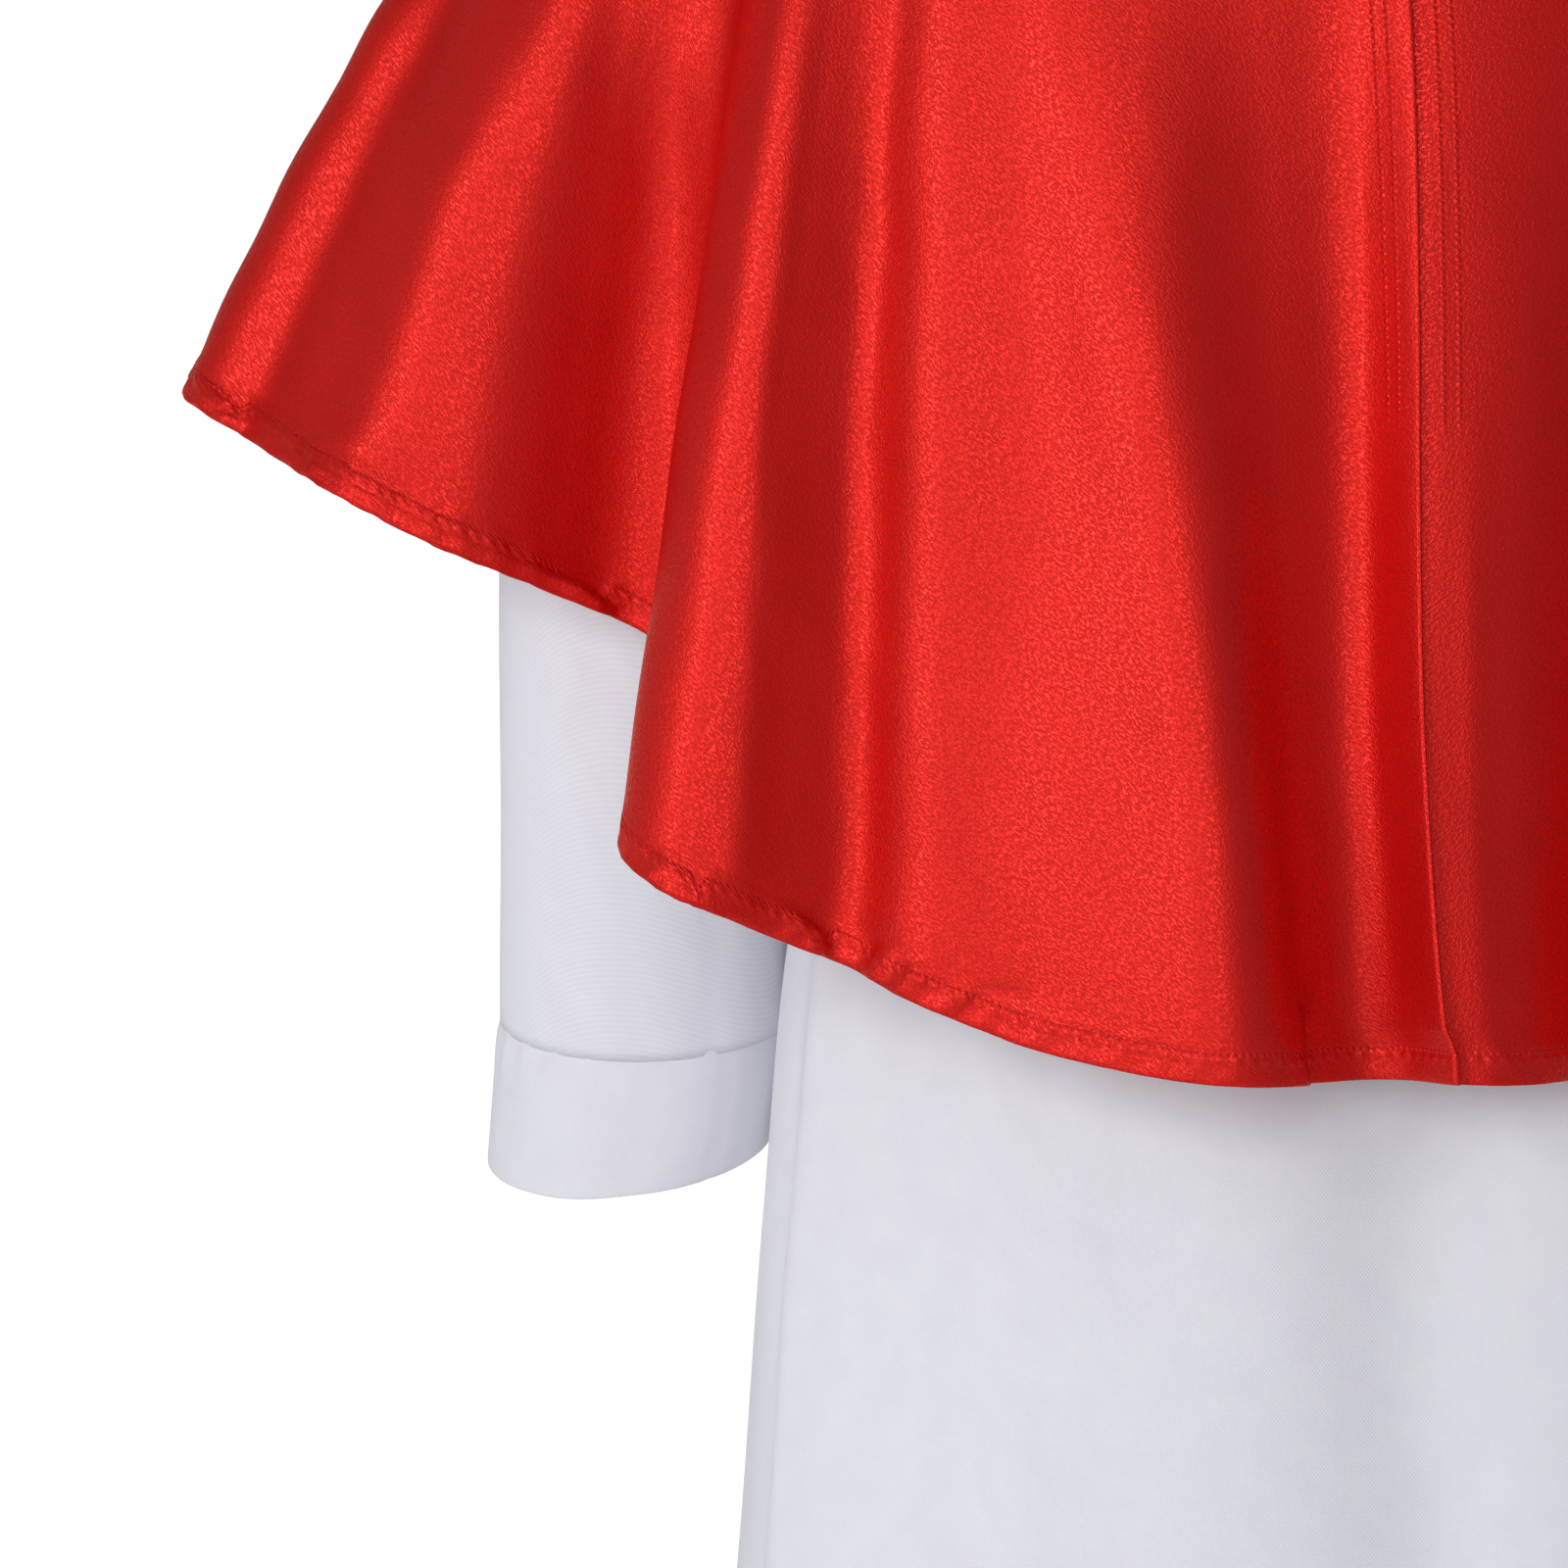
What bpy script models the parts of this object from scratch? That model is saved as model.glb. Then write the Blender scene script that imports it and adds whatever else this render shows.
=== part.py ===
"""Priest robe with a shoulder cape, worn: a long white robe under a red cape.

Every piece is a thin wall of cloth in its worn shape, with nothing inside.
Metres, +Z up. The front faces -Y and the wearer's left is +X. The origin is
the middle of the neck where the shoulders carry the garment.
"""

import functools
import math

import bmesh
import bpy
from mathutils import Vector

# Cloth walls and the space left at each seam
TWILL = 0.0015
SATIN = 0.0012
SEAM = 0.0003
REST = 0.0006

# Robe: neck, shoulder line and armhole
NECK_WIDTH = 0.070
NECK_BACK = 0.062
NECK_FRONT = 0.070
NECK_Z_SIDE = 0.002
NECK_Z_BACK = 0.012
NECK_Z_FRONT = -0.030
SHOULDER_X = 0.205
SHOULDER_Z = -0.050
UNDERARM_Z = -0.240
ARMHOLE_DEPTH = 0.058
ARMHOLE_SCOOP = 0.022
ARMHOLE_EASE = 0.0012
NECK_SHARE = 6
BAND_RISE = 0.034
BAND_TUCK = 0.001
BAND_LEAN = 0.004

# Robe: panel grids. Each panel's wall is made in an upper and a lower stretch,
# which meet at the waist with a hairline between them.
ARMHOLE_ROWS = 8
SKIRT_ROWS = 10
WAIST_ROW = 11
WAIST_GAP = 0.0005
HALF_COLUMNS = 14
BODY_POWER = 2.5

# Robe above the underarm, one row for each height: back and front depth at
# the centre line, centre heights of back and front, the sag between the
# centre line and the armhole, and how far round the cloth turns at the
# armhole, in degrees.
YOKE = (
    # back_y, front_y, back_z, front_z, sag, turn
    (0.085, -0.088, -0.016, -0.052, 0.014, 50.0),
    (0.102, -0.100, -0.042, -0.074, 0.016, 50.0),
    (0.114, -0.109, -0.068, -0.098, 0.010, 51.0),
    (0.121, -0.116, -0.099, -0.124, 0.007, 53.0),
    (0.125, -0.120, -0.133, -0.152, 0.004, 56.0),
    (0.127, -0.122, -0.169, -0.181, 0.002, 62.0),
    (0.128, -0.122, -0.205, -0.210, 0.000, 73.0),
)

# Robe below the underarm, one row for each height: half-width, depth behind
# and in front, and how deep the soft upright folds are.
SKIRT = (
    # z, half_width, back, front, fold
    (-0.240, 0.200, 0.128, 0.121, 0.000),
    (-0.330, 0.199, 0.126, 0.119, 0.000),
    (-0.450, 0.206, 0.127, 0.120, 0.001),
    (-0.580, 0.232, 0.134, 0.126, 0.002),
    (-0.700, 0.243, 0.146, 0.136, 0.004),
    (-0.850, 0.253, 0.164, 0.152, 0.007),
    (-1.050, 0.271, 0.190, 0.176, 0.011),
    (-1.280, 0.292, 0.222, 0.208, 0.015),
    (-1.500, 0.314, 0.254, 0.240, 0.019),
)

# Upright folds of the robe's skirt: middle in degrees from the centre back
# round by the left, width in degrees, and depth as a share of the row's fold.
SKIRT_FOLDS = (
    # middle, width, share
    (-158.0, 17.0, 0.9),
    (-122.0, 15.0, 1.1),
    (-84.0, 13.0, 0.8),
    (-47.0, 15.0, 1.2),
    (-8.0, 19.0, 0.5),
    (33.0, 16.0, 1.0),
    (62.0, 12.0, 1.1),
    (97.0, 14.0, 0.9),
    (131.0, 16.0, 1.2),
    (166.0, 14.0, 0.8),
)
SKIRT_FOLD_MIDDLE = 0.45

# Left sleeve below the armhole, one row for each ring: its outer and inner
# points, the middle of its depth, half its depth, and the drop of its back.
SLEEVE = (
    # outer_x, outer_z, inner_x, inner_z, y, half_depth, drop
    (0.2250, -0.0575, 0.2055, -0.2355, 0.000, 0.0610, 0.000),
    (0.2500, -0.0760, 0.2115, -0.2395, 0.000, 0.0600, 0.000),
    (0.2760, -0.1100, 0.2165, -0.2560, 0.000, 0.0585, 0.001),
    (0.2980, -0.1550, 0.2190, -0.2820, 0.000, 0.0565, 0.002),
    (0.3170, -0.2150, 0.2205, -0.3150, 0.000, 0.0545, 0.004),
    (0.3330, -0.2880, 0.2225, -0.3560, -0.002, 0.0530, 0.007),
    (0.3430, -0.3650, 0.2260, -0.4050, -0.007, 0.0520, 0.010),
    (0.3465, -0.4400, 0.2300, -0.4600, -0.015, 0.0510, 0.012),
    (0.3470, -0.5050, 0.2330, -0.5150, -0.030, 0.0490, 0.013),
    (0.3465, -0.5700, 0.2345, -0.5740, -0.046, 0.0470, 0.013),
    (0.3465, -0.6280, 0.2350, -0.6250, -0.060, 0.0450, 0.012),
)
SLEEVE_AROUND = 16

# Left cuff, one row for each ring, in the same columns as the sleeve
CUFF = (
    # outer_x, outer_z, inner_x, inner_z, y, half_depth, drop
    (0.3487, -0.6265, 0.2328, -0.6235, -0.0596, 0.0471, 0.012),
    (0.3493, -0.6320, 0.2334, -0.6285, -0.0610, 0.0474, 0.012),
    (0.3513, -0.6590, 0.2370, -0.6520, -0.0675, 0.0474, 0.013),
    (0.3535, -0.6860, 0.2425, -0.6735, -0.0740, 0.0472, 0.014),
)

# Cape rings from the neck to where the cloth leaves the shoulders: half-width,
# depths, and heights at the side, back and front.
NECK_OUT = TWILL + REST + SATIN + SEAM
CAPE_RINGS = (
    # half_width, back, front, z_side, z_back, z_front, power
    (NECK_WIDTH + NECK_OUT, NECK_BACK + NECK_OUT, NECK_FRONT + NECK_OUT, 0.0036, 0.0145, -0.0270, 2.0),
    (0.1500, 0.1120, 0.1060, -0.0262, -0.0290, -0.0660, 2.2),
    (0.2350, 0.1330, 0.1290, -0.0560, -0.1150, -0.1250, 2.4),
)

# Folds of the cape's left half from the centre back to the centre front. Each
# row has the fold's direction in degrees, its foot on the hem, and how far the
# cloth runs outward for each unit of drop, where it leaves the shoulder and at
# the hem.
LEFT_FOLDS = (
    # direction, x, y, z, out_top, out_hem
    (1.7, -0.0185, 0.190, -0.6200, 0.25, 0.10),
    (7.0, 0.010, 0.168, -0.6220, 0.22, 0.02),
    (14.0, 0.036, 0.176, -0.6220, 0.24, 0.05),
    (22.0, 0.068, 0.202, -0.6200, 0.26, 0.10),
    (30.0, 0.106, 0.196, -0.6160, 0.26, 0.08),
    (36.0, 0.147, 0.178, -0.6080, 0.26, 0.05),
    (41.0, 0.180, 0.165, -0.5960, 0.30, 0.05),
    (46.0, 0.213, 0.150, -0.5820, 0.34, 0.04),
    (50.5, 0.249, 0.153, -0.5670, 0.38, 0.08),
    (54.0, 0.280, 0.160, -0.5530, 0.42, 0.14),
    (57.0, 0.298, 0.139, -0.5390, 0.42, 0.16),
    (60.5, 0.290, 0.106, -0.5230, 0.42, 0.14),
    (64.5, 0.273, 0.078, -0.5000, 0.46, 0.04),
    (69.0, 0.287, 0.063, -0.4670, 0.62, 0.06),
    (73.5, 0.326, 0.068, -0.4475, 0.92, 0.22),
    (78.0, 0.372, 0.077, -0.4280, 1.10, 0.36),
    (82.0, 0.412, 0.056, -0.4080, 1.22, 0.42),
    (86.0, 0.443, 0.030, -0.3920, 1.32, 0.44),
    (90.0, 0.468, 0.004, -0.3780, 1.34, 0.46),
    (95.0, 0.453, -0.034, -0.3830, 1.40, 0.48),
    (101.0, 0.410, -0.085, -0.4010, 1.25, 0.44),
    (107.0, 0.358, -0.125, -0.4270, 1.05, 0.36),
    (112.0, 0.300, -0.117, -0.4600, 0.70, 0.16),
    (116.5, 0.263, -0.128, -0.4830, 0.54, 0.10),
    (121.0, 0.262, -0.164, -0.5070, 0.50, 0.14),
    (126.0, 0.268, -0.198, -0.5280, 0.46, 0.16),
    (132.0, 0.240, -0.215, -0.5450, 0.40, 0.14),
    (141.0, 0.185, -0.190, -0.5650, 0.34, 0.08),
    (150.0, 0.130, -0.212, -0.5800, 0.30, 0.12),
    (160.0, 0.075, -0.192, -0.5900, 0.26, 0.06),
    (170.0, 0.035, -0.203, -0.5940, 0.26, 0.08),
    (180.0, 0.000, -0.212, -0.5950, 0.26, 0.10),
)

# Folds of the cape's right half, in the same columns, mirrored to the left
RIGHT_FOLDS = (
    # direction, x, y, z, out_top, out_hem
    (-1.7, 0.0185, 0.190, -0.6200, 0.25, 0.10),
    (7.0, 0.046, 0.182, -0.6215, 0.24, 0.07),
    (15.0, 0.080, 0.156, -0.6220, 0.22, 0.03),
    (23.0, 0.112, 0.168, -0.6200, 0.24, 0.06),
    (31.0, 0.142, 0.190, -0.6120, 0.28, 0.10),
    (38.0, 0.178, 0.184, -0.5990, 0.30, 0.10),
    (44.0, 0.208, 0.157, -0.5860, 0.32, 0.05),
    (49.5, 0.246, 0.150, -0.5700, 0.38, 0.06),
    (54.0, 0.281, 0.162, -0.5530, 0.42, 0.14),
    (57.5, 0.301, 0.137, -0.5380, 0.42, 0.16),
    (61.0, 0.294, 0.106, -0.5220, 0.42, 0.14),
    (65.0, 0.276, 0.078, -0.4990, 0.46, 0.04),
    (69.5, 0.291, 0.064, -0.4660, 0.62, 0.06),
    (74.0, 0.331, 0.070, -0.4460, 0.94, 0.22),
    (79.0, 0.381, 0.074, -0.4240, 1.12, 0.36),
    (84.0, 0.430, 0.040, -0.3990, 1.28, 0.43),
    (90.0, 0.466, -0.002, -0.3790, 1.34, 0.46),
    (96.0, 0.445, -0.044, -0.3870, 1.38, 0.47),
    (102.0, 0.400, -0.092, -0.4050, 1.22, 0.43),
    (108.0, 0.347, -0.128, -0.4330, 1.00, 0.34),
    (113.0, 0.290, -0.120, -0.4640, 0.68, 0.16),
    (117.5, 0.256, -0.132, -0.4870, 0.52, 0.10),
    (122.0, 0.255, -0.168, -0.5100, 0.50, 0.14),
    (127.0, 0.259, -0.200, -0.5300, 0.46, 0.16),
    (134.0, 0.226, -0.214, -0.5480, 0.40, 0.13),
    (143.0, 0.172, -0.191, -0.5690, 0.33, 0.08),
    (152.0, 0.118, -0.209, -0.5820, 0.30, 0.11),
    (161.0, 0.070, -0.194, -0.5900, 0.26, 0.06),
    (170.0, 0.034, -0.204, -0.5940, 0.26, 0.08),
    (180.0, 0.000, -0.212, -0.5950, 0.26, 0.10),
)

# Cape: grid steps between folds, grid rows above and below the leaving line,
# and the heights of its neckband's edges over the neckline
FOLD_STEPS = 2
CAPE_TOP_ROWS = 4
CAPE_FALL_ROWS = 9
CAPE_BAND_RISE = 0.018
CAPE_BAND_FOOT = 0.0022

# Zip tapes behind the cape's centre back seam and the robe's centre front
TAPE = 0.0010
TAPE_HALF = 0.012
TAPE_CLEAR = 0.0006
TAPE_START = 0.8
CAPE_TAPE_ROWS = 9
ROBE_TAPE_ROWS = 10


def clear_scene():
    for thing in list(bpy.data.objects):
        bpy.data.objects.remove(thing, do_unlink=True)


def cloth(name, colour, roughness):
    material = bpy.data.materials.new(name)
    material.use_nodes = True
    shader = material.node_tree.nodes["Principled BSDF"]
    shader.inputs["Base Color"].default_value = (*colour, 1.0)
    shader.inputs["Roughness"].default_value = roughness
    shader.inputs["Metallic"].default_value = 0.0
    return material


def spline(values, at):
    """A smooth curve through the values, read at a place between them."""
    last = len(values) - 1
    i = min(int(at), last - 1)
    t = at - i
    before = values[i - 1] if i > 0 else 2 * values[0] - values[1]
    after = values[i + 2] if i + 2 <= last else 2 * values[last] - values[last - 1]
    start, end = values[i], values[i + 1]
    return 0.5 * (
        2 * start
        + (end - before) * t
        + (2 * before - 5 * start + 4 * end - after) * t * t
        + (3 * start - before - 3 * end + after) * t ** 3
    )


def table_at(rows, at):
    """One row of numbers between the rows of a table."""
    return [spline(column, at) for column in zip(*rows)]


def rounded(angle, power):
    """Sine and cosine of a corner that is squarer than a circle's."""
    s, c = math.sin(angle), math.cos(angle)
    return (
        math.copysign(abs(s) ** (2 / power), s),
        math.copysign(abs(c) ** (2 / power), c),
    )


def hermite(start, start_way, end, end_way, t):
    return (
        start * (2 * t ** 3 - 3 * t ** 2 + 1)
        + start_way * (t ** 3 - 2 * t ** 2 + t)
        + end * (3 * t ** 2 - 2 * t ** 3)
        + end_way * (t ** 3 - t ** 2)
    )


def wall(name, columns, rows, place, thickness, material, closed=False, turned=False):
    """A grid moved to place(column, row), then made solid outward, or inward if minus."""
    mesh = bpy.data.meshes.new(name)
    shape = bmesh.new()
    bmesh.ops.create_grid(shape, x_segments=columns, y_segments=rows, size=0.5)
    shape.verts.ensure_lookup_table()
    for point in shape.verts:
        column = round((point.co.x + 0.5) * columns)
        row = round((point.co.y + 0.5) * rows)
        point.co = place(column, row)
    if closed:
        bmesh.ops.remove_doubles(shape, verts=shape.verts, dist=0.00001)
    if turned:
        bmesh.ops.reverse_faces(shape, faces=shape.faces)
    shape.to_mesh(mesh)
    shape.free()
    mesh.shade_smooth()
    mesh.materials.append(material)
    piece = bpy.data.objects.new(name, mesh)
    solid = piece.modifiers.new("wall", "SOLIDIFY")
    solid.thickness = abs(thickness)
    solid.offset = math.copysign(1.0, thickness)
    solid.use_rim = True
    return piece


# Robe

def neck_point(angle, out=0.0):
    """The neckline, by its angle from the centre back round by the left."""
    s, c = math.sin(angle), math.cos(angle)
    depth = NECK_BACK if c > 0 else NECK_FRONT
    middle_z = NECK_Z_BACK if c > 0 else NECK_Z_FRONT
    return Vector((
        (NECK_WIDTH + out) * s,
        (depth + out) * c,
        NECK_Z_SIDE + (middle_z - NECK_Z_SIDE) * c * c,
    ))


def armhole_point(turn, back):
    """The left armhole edge, from the shoulder (0) down to the underarm (1)."""
    angle = math.pi * turn
    side = 1.0 if back else -1.0
    middle_x = (SHOULDER_X + SKIRT[0][1]) / 2
    middle_z = (SHOULDER_Z + UNDERARM_Z) / 2
    return Vector((
        middle_x + (SHOULDER_X - middle_x) * math.cos(angle) - ARMHOLE_SCOOP * math.sin(angle) ** 2,
        side * ARMHOLE_DEPTH * math.sin(angle),
        middle_z + (SHOULDER_Z - middle_z) * math.cos(angle),
    ))


def shoulder_row(share, back):
    """The top edge of a panel: the neckline, then the shoulder seam."""
    seam = SEAM / 2 if back else -SEAM / 2
    turn = share * HALF_COLUMNS / NECK_SHARE
    out = TWILL + SEAM
    if turn < 1:
        angle = turn * math.pi / 2
        if not back:
            angle = math.pi - angle
        point = neck_point(angle, out)
    else:
        along = (share * HALF_COLUMNS - NECK_SHARE) / (HALF_COLUMNS - NECK_SHARE)
        start = neck_point(math.pi / 2, out)
        start.y = 0.0
        point = start.lerp(Vector((SHOULDER_X, 0.0, SHOULDER_Z)), along)
    if abs(point.y) < SEAM:
        point.y = seam
    return point


def yoke_row(number, share, back):
    """A level of a panel between the shoulder and the underarm."""
    if number == 0:
        return shoulder_row(share, back)
    back_y, front_y, back_z, front_z, sag, turn = YOKE[number - 1]
    centre_y, centre_z = (back_y, back_z) if back else (front_y, front_z)
    edge = armhole_point(number / ARMHOLE_ROWS, back)
    angle = share * math.pi / 2
    s, c = rounded(share * math.radians(turn), BODY_POWER)
    last_s, last_c = rounded(math.radians(turn), BODY_POWER)
    s /= last_s
    c = (c - last_c) / (1 - last_c)
    dip = sag * math.sin(2 * angle) ** 2
    return Vector((
        edge.x * s,
        edge.y + (centre_y - edge.y) * c,
        centre_z + (edge.z - centre_z) * math.sin(angle) ** 2 - dip,
    ))


def skirt_fold(angle):
    """How far the upright folds stand out, from -1 to 1."""
    degrees = math.degrees(angle)
    total = 0.0
    for middle, width, share in SKIRT_FOLDS:
        off = (degrees - middle + 180.0) % 360.0 - 180.0
        total += share * math.exp(-((off / width) ** 2))
    return total - SKIRT_FOLD_MIDDLE


def skirt_point(angle, depth):
    """The robe below the underarm, by angle and by place in the table's rows."""
    z, half_width, back, front, fold = table_at(SKIRT, depth)
    s, c = rounded(angle, BODY_POWER)
    out = fold * skirt_fold(angle)
    reach = back if c > 0 else front
    return Vector(((half_width + out) * s, (reach + out) * c, z))


def mirrored(point):
    return Vector((-point.x, point.y, point.z))


def panel_point(share, row, back, left):
    """A point of a panel's half: share from the centre line (0) to the side (1)."""
    if row < ARMHOLE_ROWS:
        point = yoke_row(row, share, back)
        return point if left else mirrored(point)
    depth = (row - ARMHOLE_ROWS) / SKIRT_ROWS * (len(SKIRT) - 1)
    angle = share * math.pi / 2
    if not back:
        angle = math.pi - angle
    return skirt_point(angle if left else -angle, depth)


def side_seam(point, back):
    """Keeps a point on its own panel's side of the side seam."""
    if abs(point.y) < SEAM / 2:
        point.y = SEAM / 2 if back else -SEAM / 2
    return point


def stretches(name, columns, place, material, turned=False):
    """A panel's wall above and below the waist."""
    def lower(column, row):
        point = place(column, row + WAIST_ROW)
        if row == 0:
            point.z -= WAIST_GAP
        return point

    rest = ARMHOLE_ROWS + SKIRT_ROWS - WAIST_ROW
    return [
        wall(name + "_upper", columns, WAIST_ROW, place, TWILL, material, turned=turned),
        wall(name + "_lower", columns, rest, lower, TWILL, material, turned=turned),
    ]


def robe_back(material):
    def place(column, row):
        share = (column - HALF_COLUMNS) / HALF_COLUMNS
        return side_seam(panel_point(abs(share), row, True, share >= 0), True)

    return stretches("robe_back", 2 * HALF_COLUMNS, place, material)


def front_point(left, column, row):
    """The front panels by columns from the centre front."""
    return panel_point(column / HALF_COLUMNS, row, False, left)


def robe_front(name, left, material):
    def place(column, row):
        point = side_seam(front_point(left, HALF_COLUMNS - column, row), False)
        if column == HALF_COLUMNS:
            point.x = SEAM / 2 if left else -SEAM / 2
        return point

    return stretches(name, HALF_COLUMNS, place, material, not left)


def ring_point(ring, angle):
    """A point of a sleeve ring, by its angle from the outside round the back."""
    outer_x, outer_z, inner_x, inner_z, y, half_depth, drop = ring
    c, s = math.cos(angle), math.sin(angle)
    return Vector((
        (outer_x + inner_x) / 2 + (outer_x - inner_x) / 2 * c,
        y + half_depth * s,
        (outer_z + inner_z) / 2 + (outer_z - inner_z) / 2 * c - drop * s,
    ))


def sleeve_start(angle):
    """The sleeve's edge just beyond the armhole edge."""
    turn = angle / math.pi
    back = turn <= 1
    edge = armhole_point(turn if back else 2 - turn, back)
    edge.x += SEAM + ARMHOLE_EASE * math.sqrt(abs(math.sin(angle)))
    edge.z += (TWILL + 3 * SEAM) * math.sqrt(max(0.0, -math.cos(angle)))
    return edge


def tube(name, rings, left, material, start=None):
    """A sleeve or cuff: a closed tube through its rings."""
    rows = len(rings) - 1 if start is None else len(rings)

    def place(column, row):
        angle = 2 * math.pi * (column % SLEEVE_AROUND) / SLEEVE_AROUND
        ring = row if start is None else row - 1
        point = ring_point(rings[ring], angle) if ring >= 0 else start(angle)
        return point if left else mirrored(point)

    return wall(name, SLEEVE_AROUND, rows, place, TWILL, material, True, left)


def robe_neckband(material):
    columns = 4 * NECK_SHARE

    def place(column, row):
        angle = -math.pi + 2 * math.pi * column / columns
        point = neck_point(angle)
        if row == 0:
            point -= Vector((point.x, point.y, 0.0)).normalized() * BAND_LEAN
        point.z += BAND_RISE if row == 0 else -BAND_TUCK
        if column in (0, columns):
            point.x = -SEAM if column == 0 else SEAM
        return point

    return wall("robe_neckband", columns, 1, place, TWILL, material)


# Cape

def cape_ring(ring, angle):
    half_width, back, front, z_side, z_back, z_front, power = ring
    s, c = rounded(angle, power)
    depth, middle_z = (back, z_back) if c > 0 else (front, z_front)
    return Vector((half_width * s, depth * c, z_side + (middle_z - z_side) * math.cos(angle) ** 2))


def cape_frame(fold):
    """Neck, shoulder and leaving points, hem, and the ways at the last two."""
    direction, x, y, z, out_top, out_hem = fold
    angle = math.radians(direction)
    neck, shoulder, leave = (cape_ring(ring, angle) for ring in CAPE_RINGS)
    hem = Vector((x, y, z))
    plan = Vector((hem.x - leave.x, hem.y - leave.y, 0.0)).normalized()
    down = Vector((0.0, 0.0, -1.0))
    top_way = (plan * out_top + down).normalized()
    hem_way = (plan * out_hem + down).normalized()
    return neck, shoulder, leave, hem, top_way, hem_way


@functools.cache
def cape_frames(folds):
    return [cape_frame(fold) for fold in folds]


def cape_point(frames, across, along):
    """The cape's inner face: across by folds, along from neck (0) to hem (3)."""
    neck, shoulder, leave, hem, top_way, hem_way = (
        spline(vectors, across) for vectors in zip(*frames)
    )
    over = (leave - neck) / 2
    fall = (hem - leave).length
    if along <= 1:
        return hermite(neck, shoulder - neck, shoulder, over, along)
    if along <= 2:
        reach = (leave - shoulder).length
        return hermite(shoulder, over, leave, top_way * reach, along - 1)
    return hermite(leave, top_way * fall, hem, hem_way * fall, along - 2)


def cape_along(row):
    """Rows of the cape's grid as places along it."""
    if row <= CAPE_TOP_ROWS:
        return 2 * row / CAPE_TOP_ROWS
    return 2 + (row - CAPE_TOP_ROWS) / CAPE_FALL_ROWS


def cape_grid_point(left, column, row):
    frames = cape_frames(LEFT_FOLDS if left else RIGHT_FOLDS)
    point = cape_point(frames, column / FOLD_STEPS, cape_along(row))
    return point if left else mirrored(point)


def cape_half(name, left, material):
    columns = (len(LEFT_FOLDS if left else RIGHT_FOLDS) - 1) * FOLD_STEPS
    rows = CAPE_TOP_ROWS + CAPE_FALL_ROWS
    gap = SEAM / 2 if left else -SEAM / 2

    def place(column, row):
        point = cape_grid_point(left, column, row)
        if column in (0, columns):
            point.x += gap
        return point

    return wall(name, columns, rows, place, SATIN, material, turned=not left)


def cape_neckband(material):
    columns = 4 * NECK_SHARE

    def place(column, row):
        angle = 2 * math.pi * column / columns
        point = neck_point(angle, TWILL + REST)
        point.z += CAPE_BAND_RISE if row == 0 else CAPE_BAND_FOOT
        if column in (0, columns):
            point.x = SEAM if column == 0 else -SEAM
        return point

    return wall("cape_neckband", columns, 1, place, SATIN, material)


# Zips

def tape(name, panel, rows, facing, material):
    """A flat tape behind a seam. panel(left, column, row) gives the panels' points."""
    def seam_side(left, column, row):
        start = panel(left, 0, row)
        return start + (panel(left, 1, row) - start).normalized() * TAPE_HALF * column

    def facet(left, row):
        start = panel(left, 0, row)
        sideways = panel(left, 1, row) - start
        normal = sideways.cross(panel(left, 0, row + 1) - start).normalized()
        return normal * (facing if left else -facing)

    def on_tape(column, row):
        left = column > 1
        point = seam_side(left, abs(column - 1), row)
        normal = facet(left, row)
        if column == 1:
            normal = (facet(True, row) + facet(False, row)).normalized()
        return point - normal * TAPE_CLEAR

    def place(column, row):
        if row == 0:
            return on_tape(column, 1).lerp(on_tape(column, 0), TAPE_START)
        return on_tape(column, row)

    return wall(name, 2, rows, place, -TAPE, material, turned=facing < 0)


def build():
    clear_scene()
    garment = bpy.data.collections.new("priest_robe")
    bpy.context.scene.collection.children.link(garment)
    white = cloth("white_twill", (0.80, 0.81, 0.86), 0.80)
    red = cloth("red_satin", (0.62, 0.010, 0.012), 0.38)
    pieces = [
        *robe_back(white),
        *robe_front("robe_front_left", True, white),
        *robe_front("robe_front_right", False, white),
        tube("sleeve_left", SLEEVE, True, white, sleeve_start),
        tube("sleeve_right", SLEEVE, False, white, sleeve_start),
        tube("cuff_left", CUFF, True, white),
        tube("cuff_right", CUFF, False, white),
        robe_neckband(white),
        cape_half("cape_left", True, red),
        cape_half("cape_right", False, red),
        cape_neckband(red),
        tape("cape_zip_tape", cape_grid_point, CAPE_TAPE_ROWS, 1, red),
        tape("robe_zip_tape", front_point, ROBE_TAPE_ROWS, -1, white),
    ]
    for piece in pieces:
        garment.objects.link(piece)


build()
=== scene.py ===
"""The visible priest robe: white twill under a red satin shoulder cape.

Each cloth piece is a thin sheet on its solid's form, with its folds, creases,
turned hem and stitches. Metres, +Z up. The front faces -Y, the wearer's left
is +X, and the origin is the middle of the neck.
"""

import functools
import math

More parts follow.
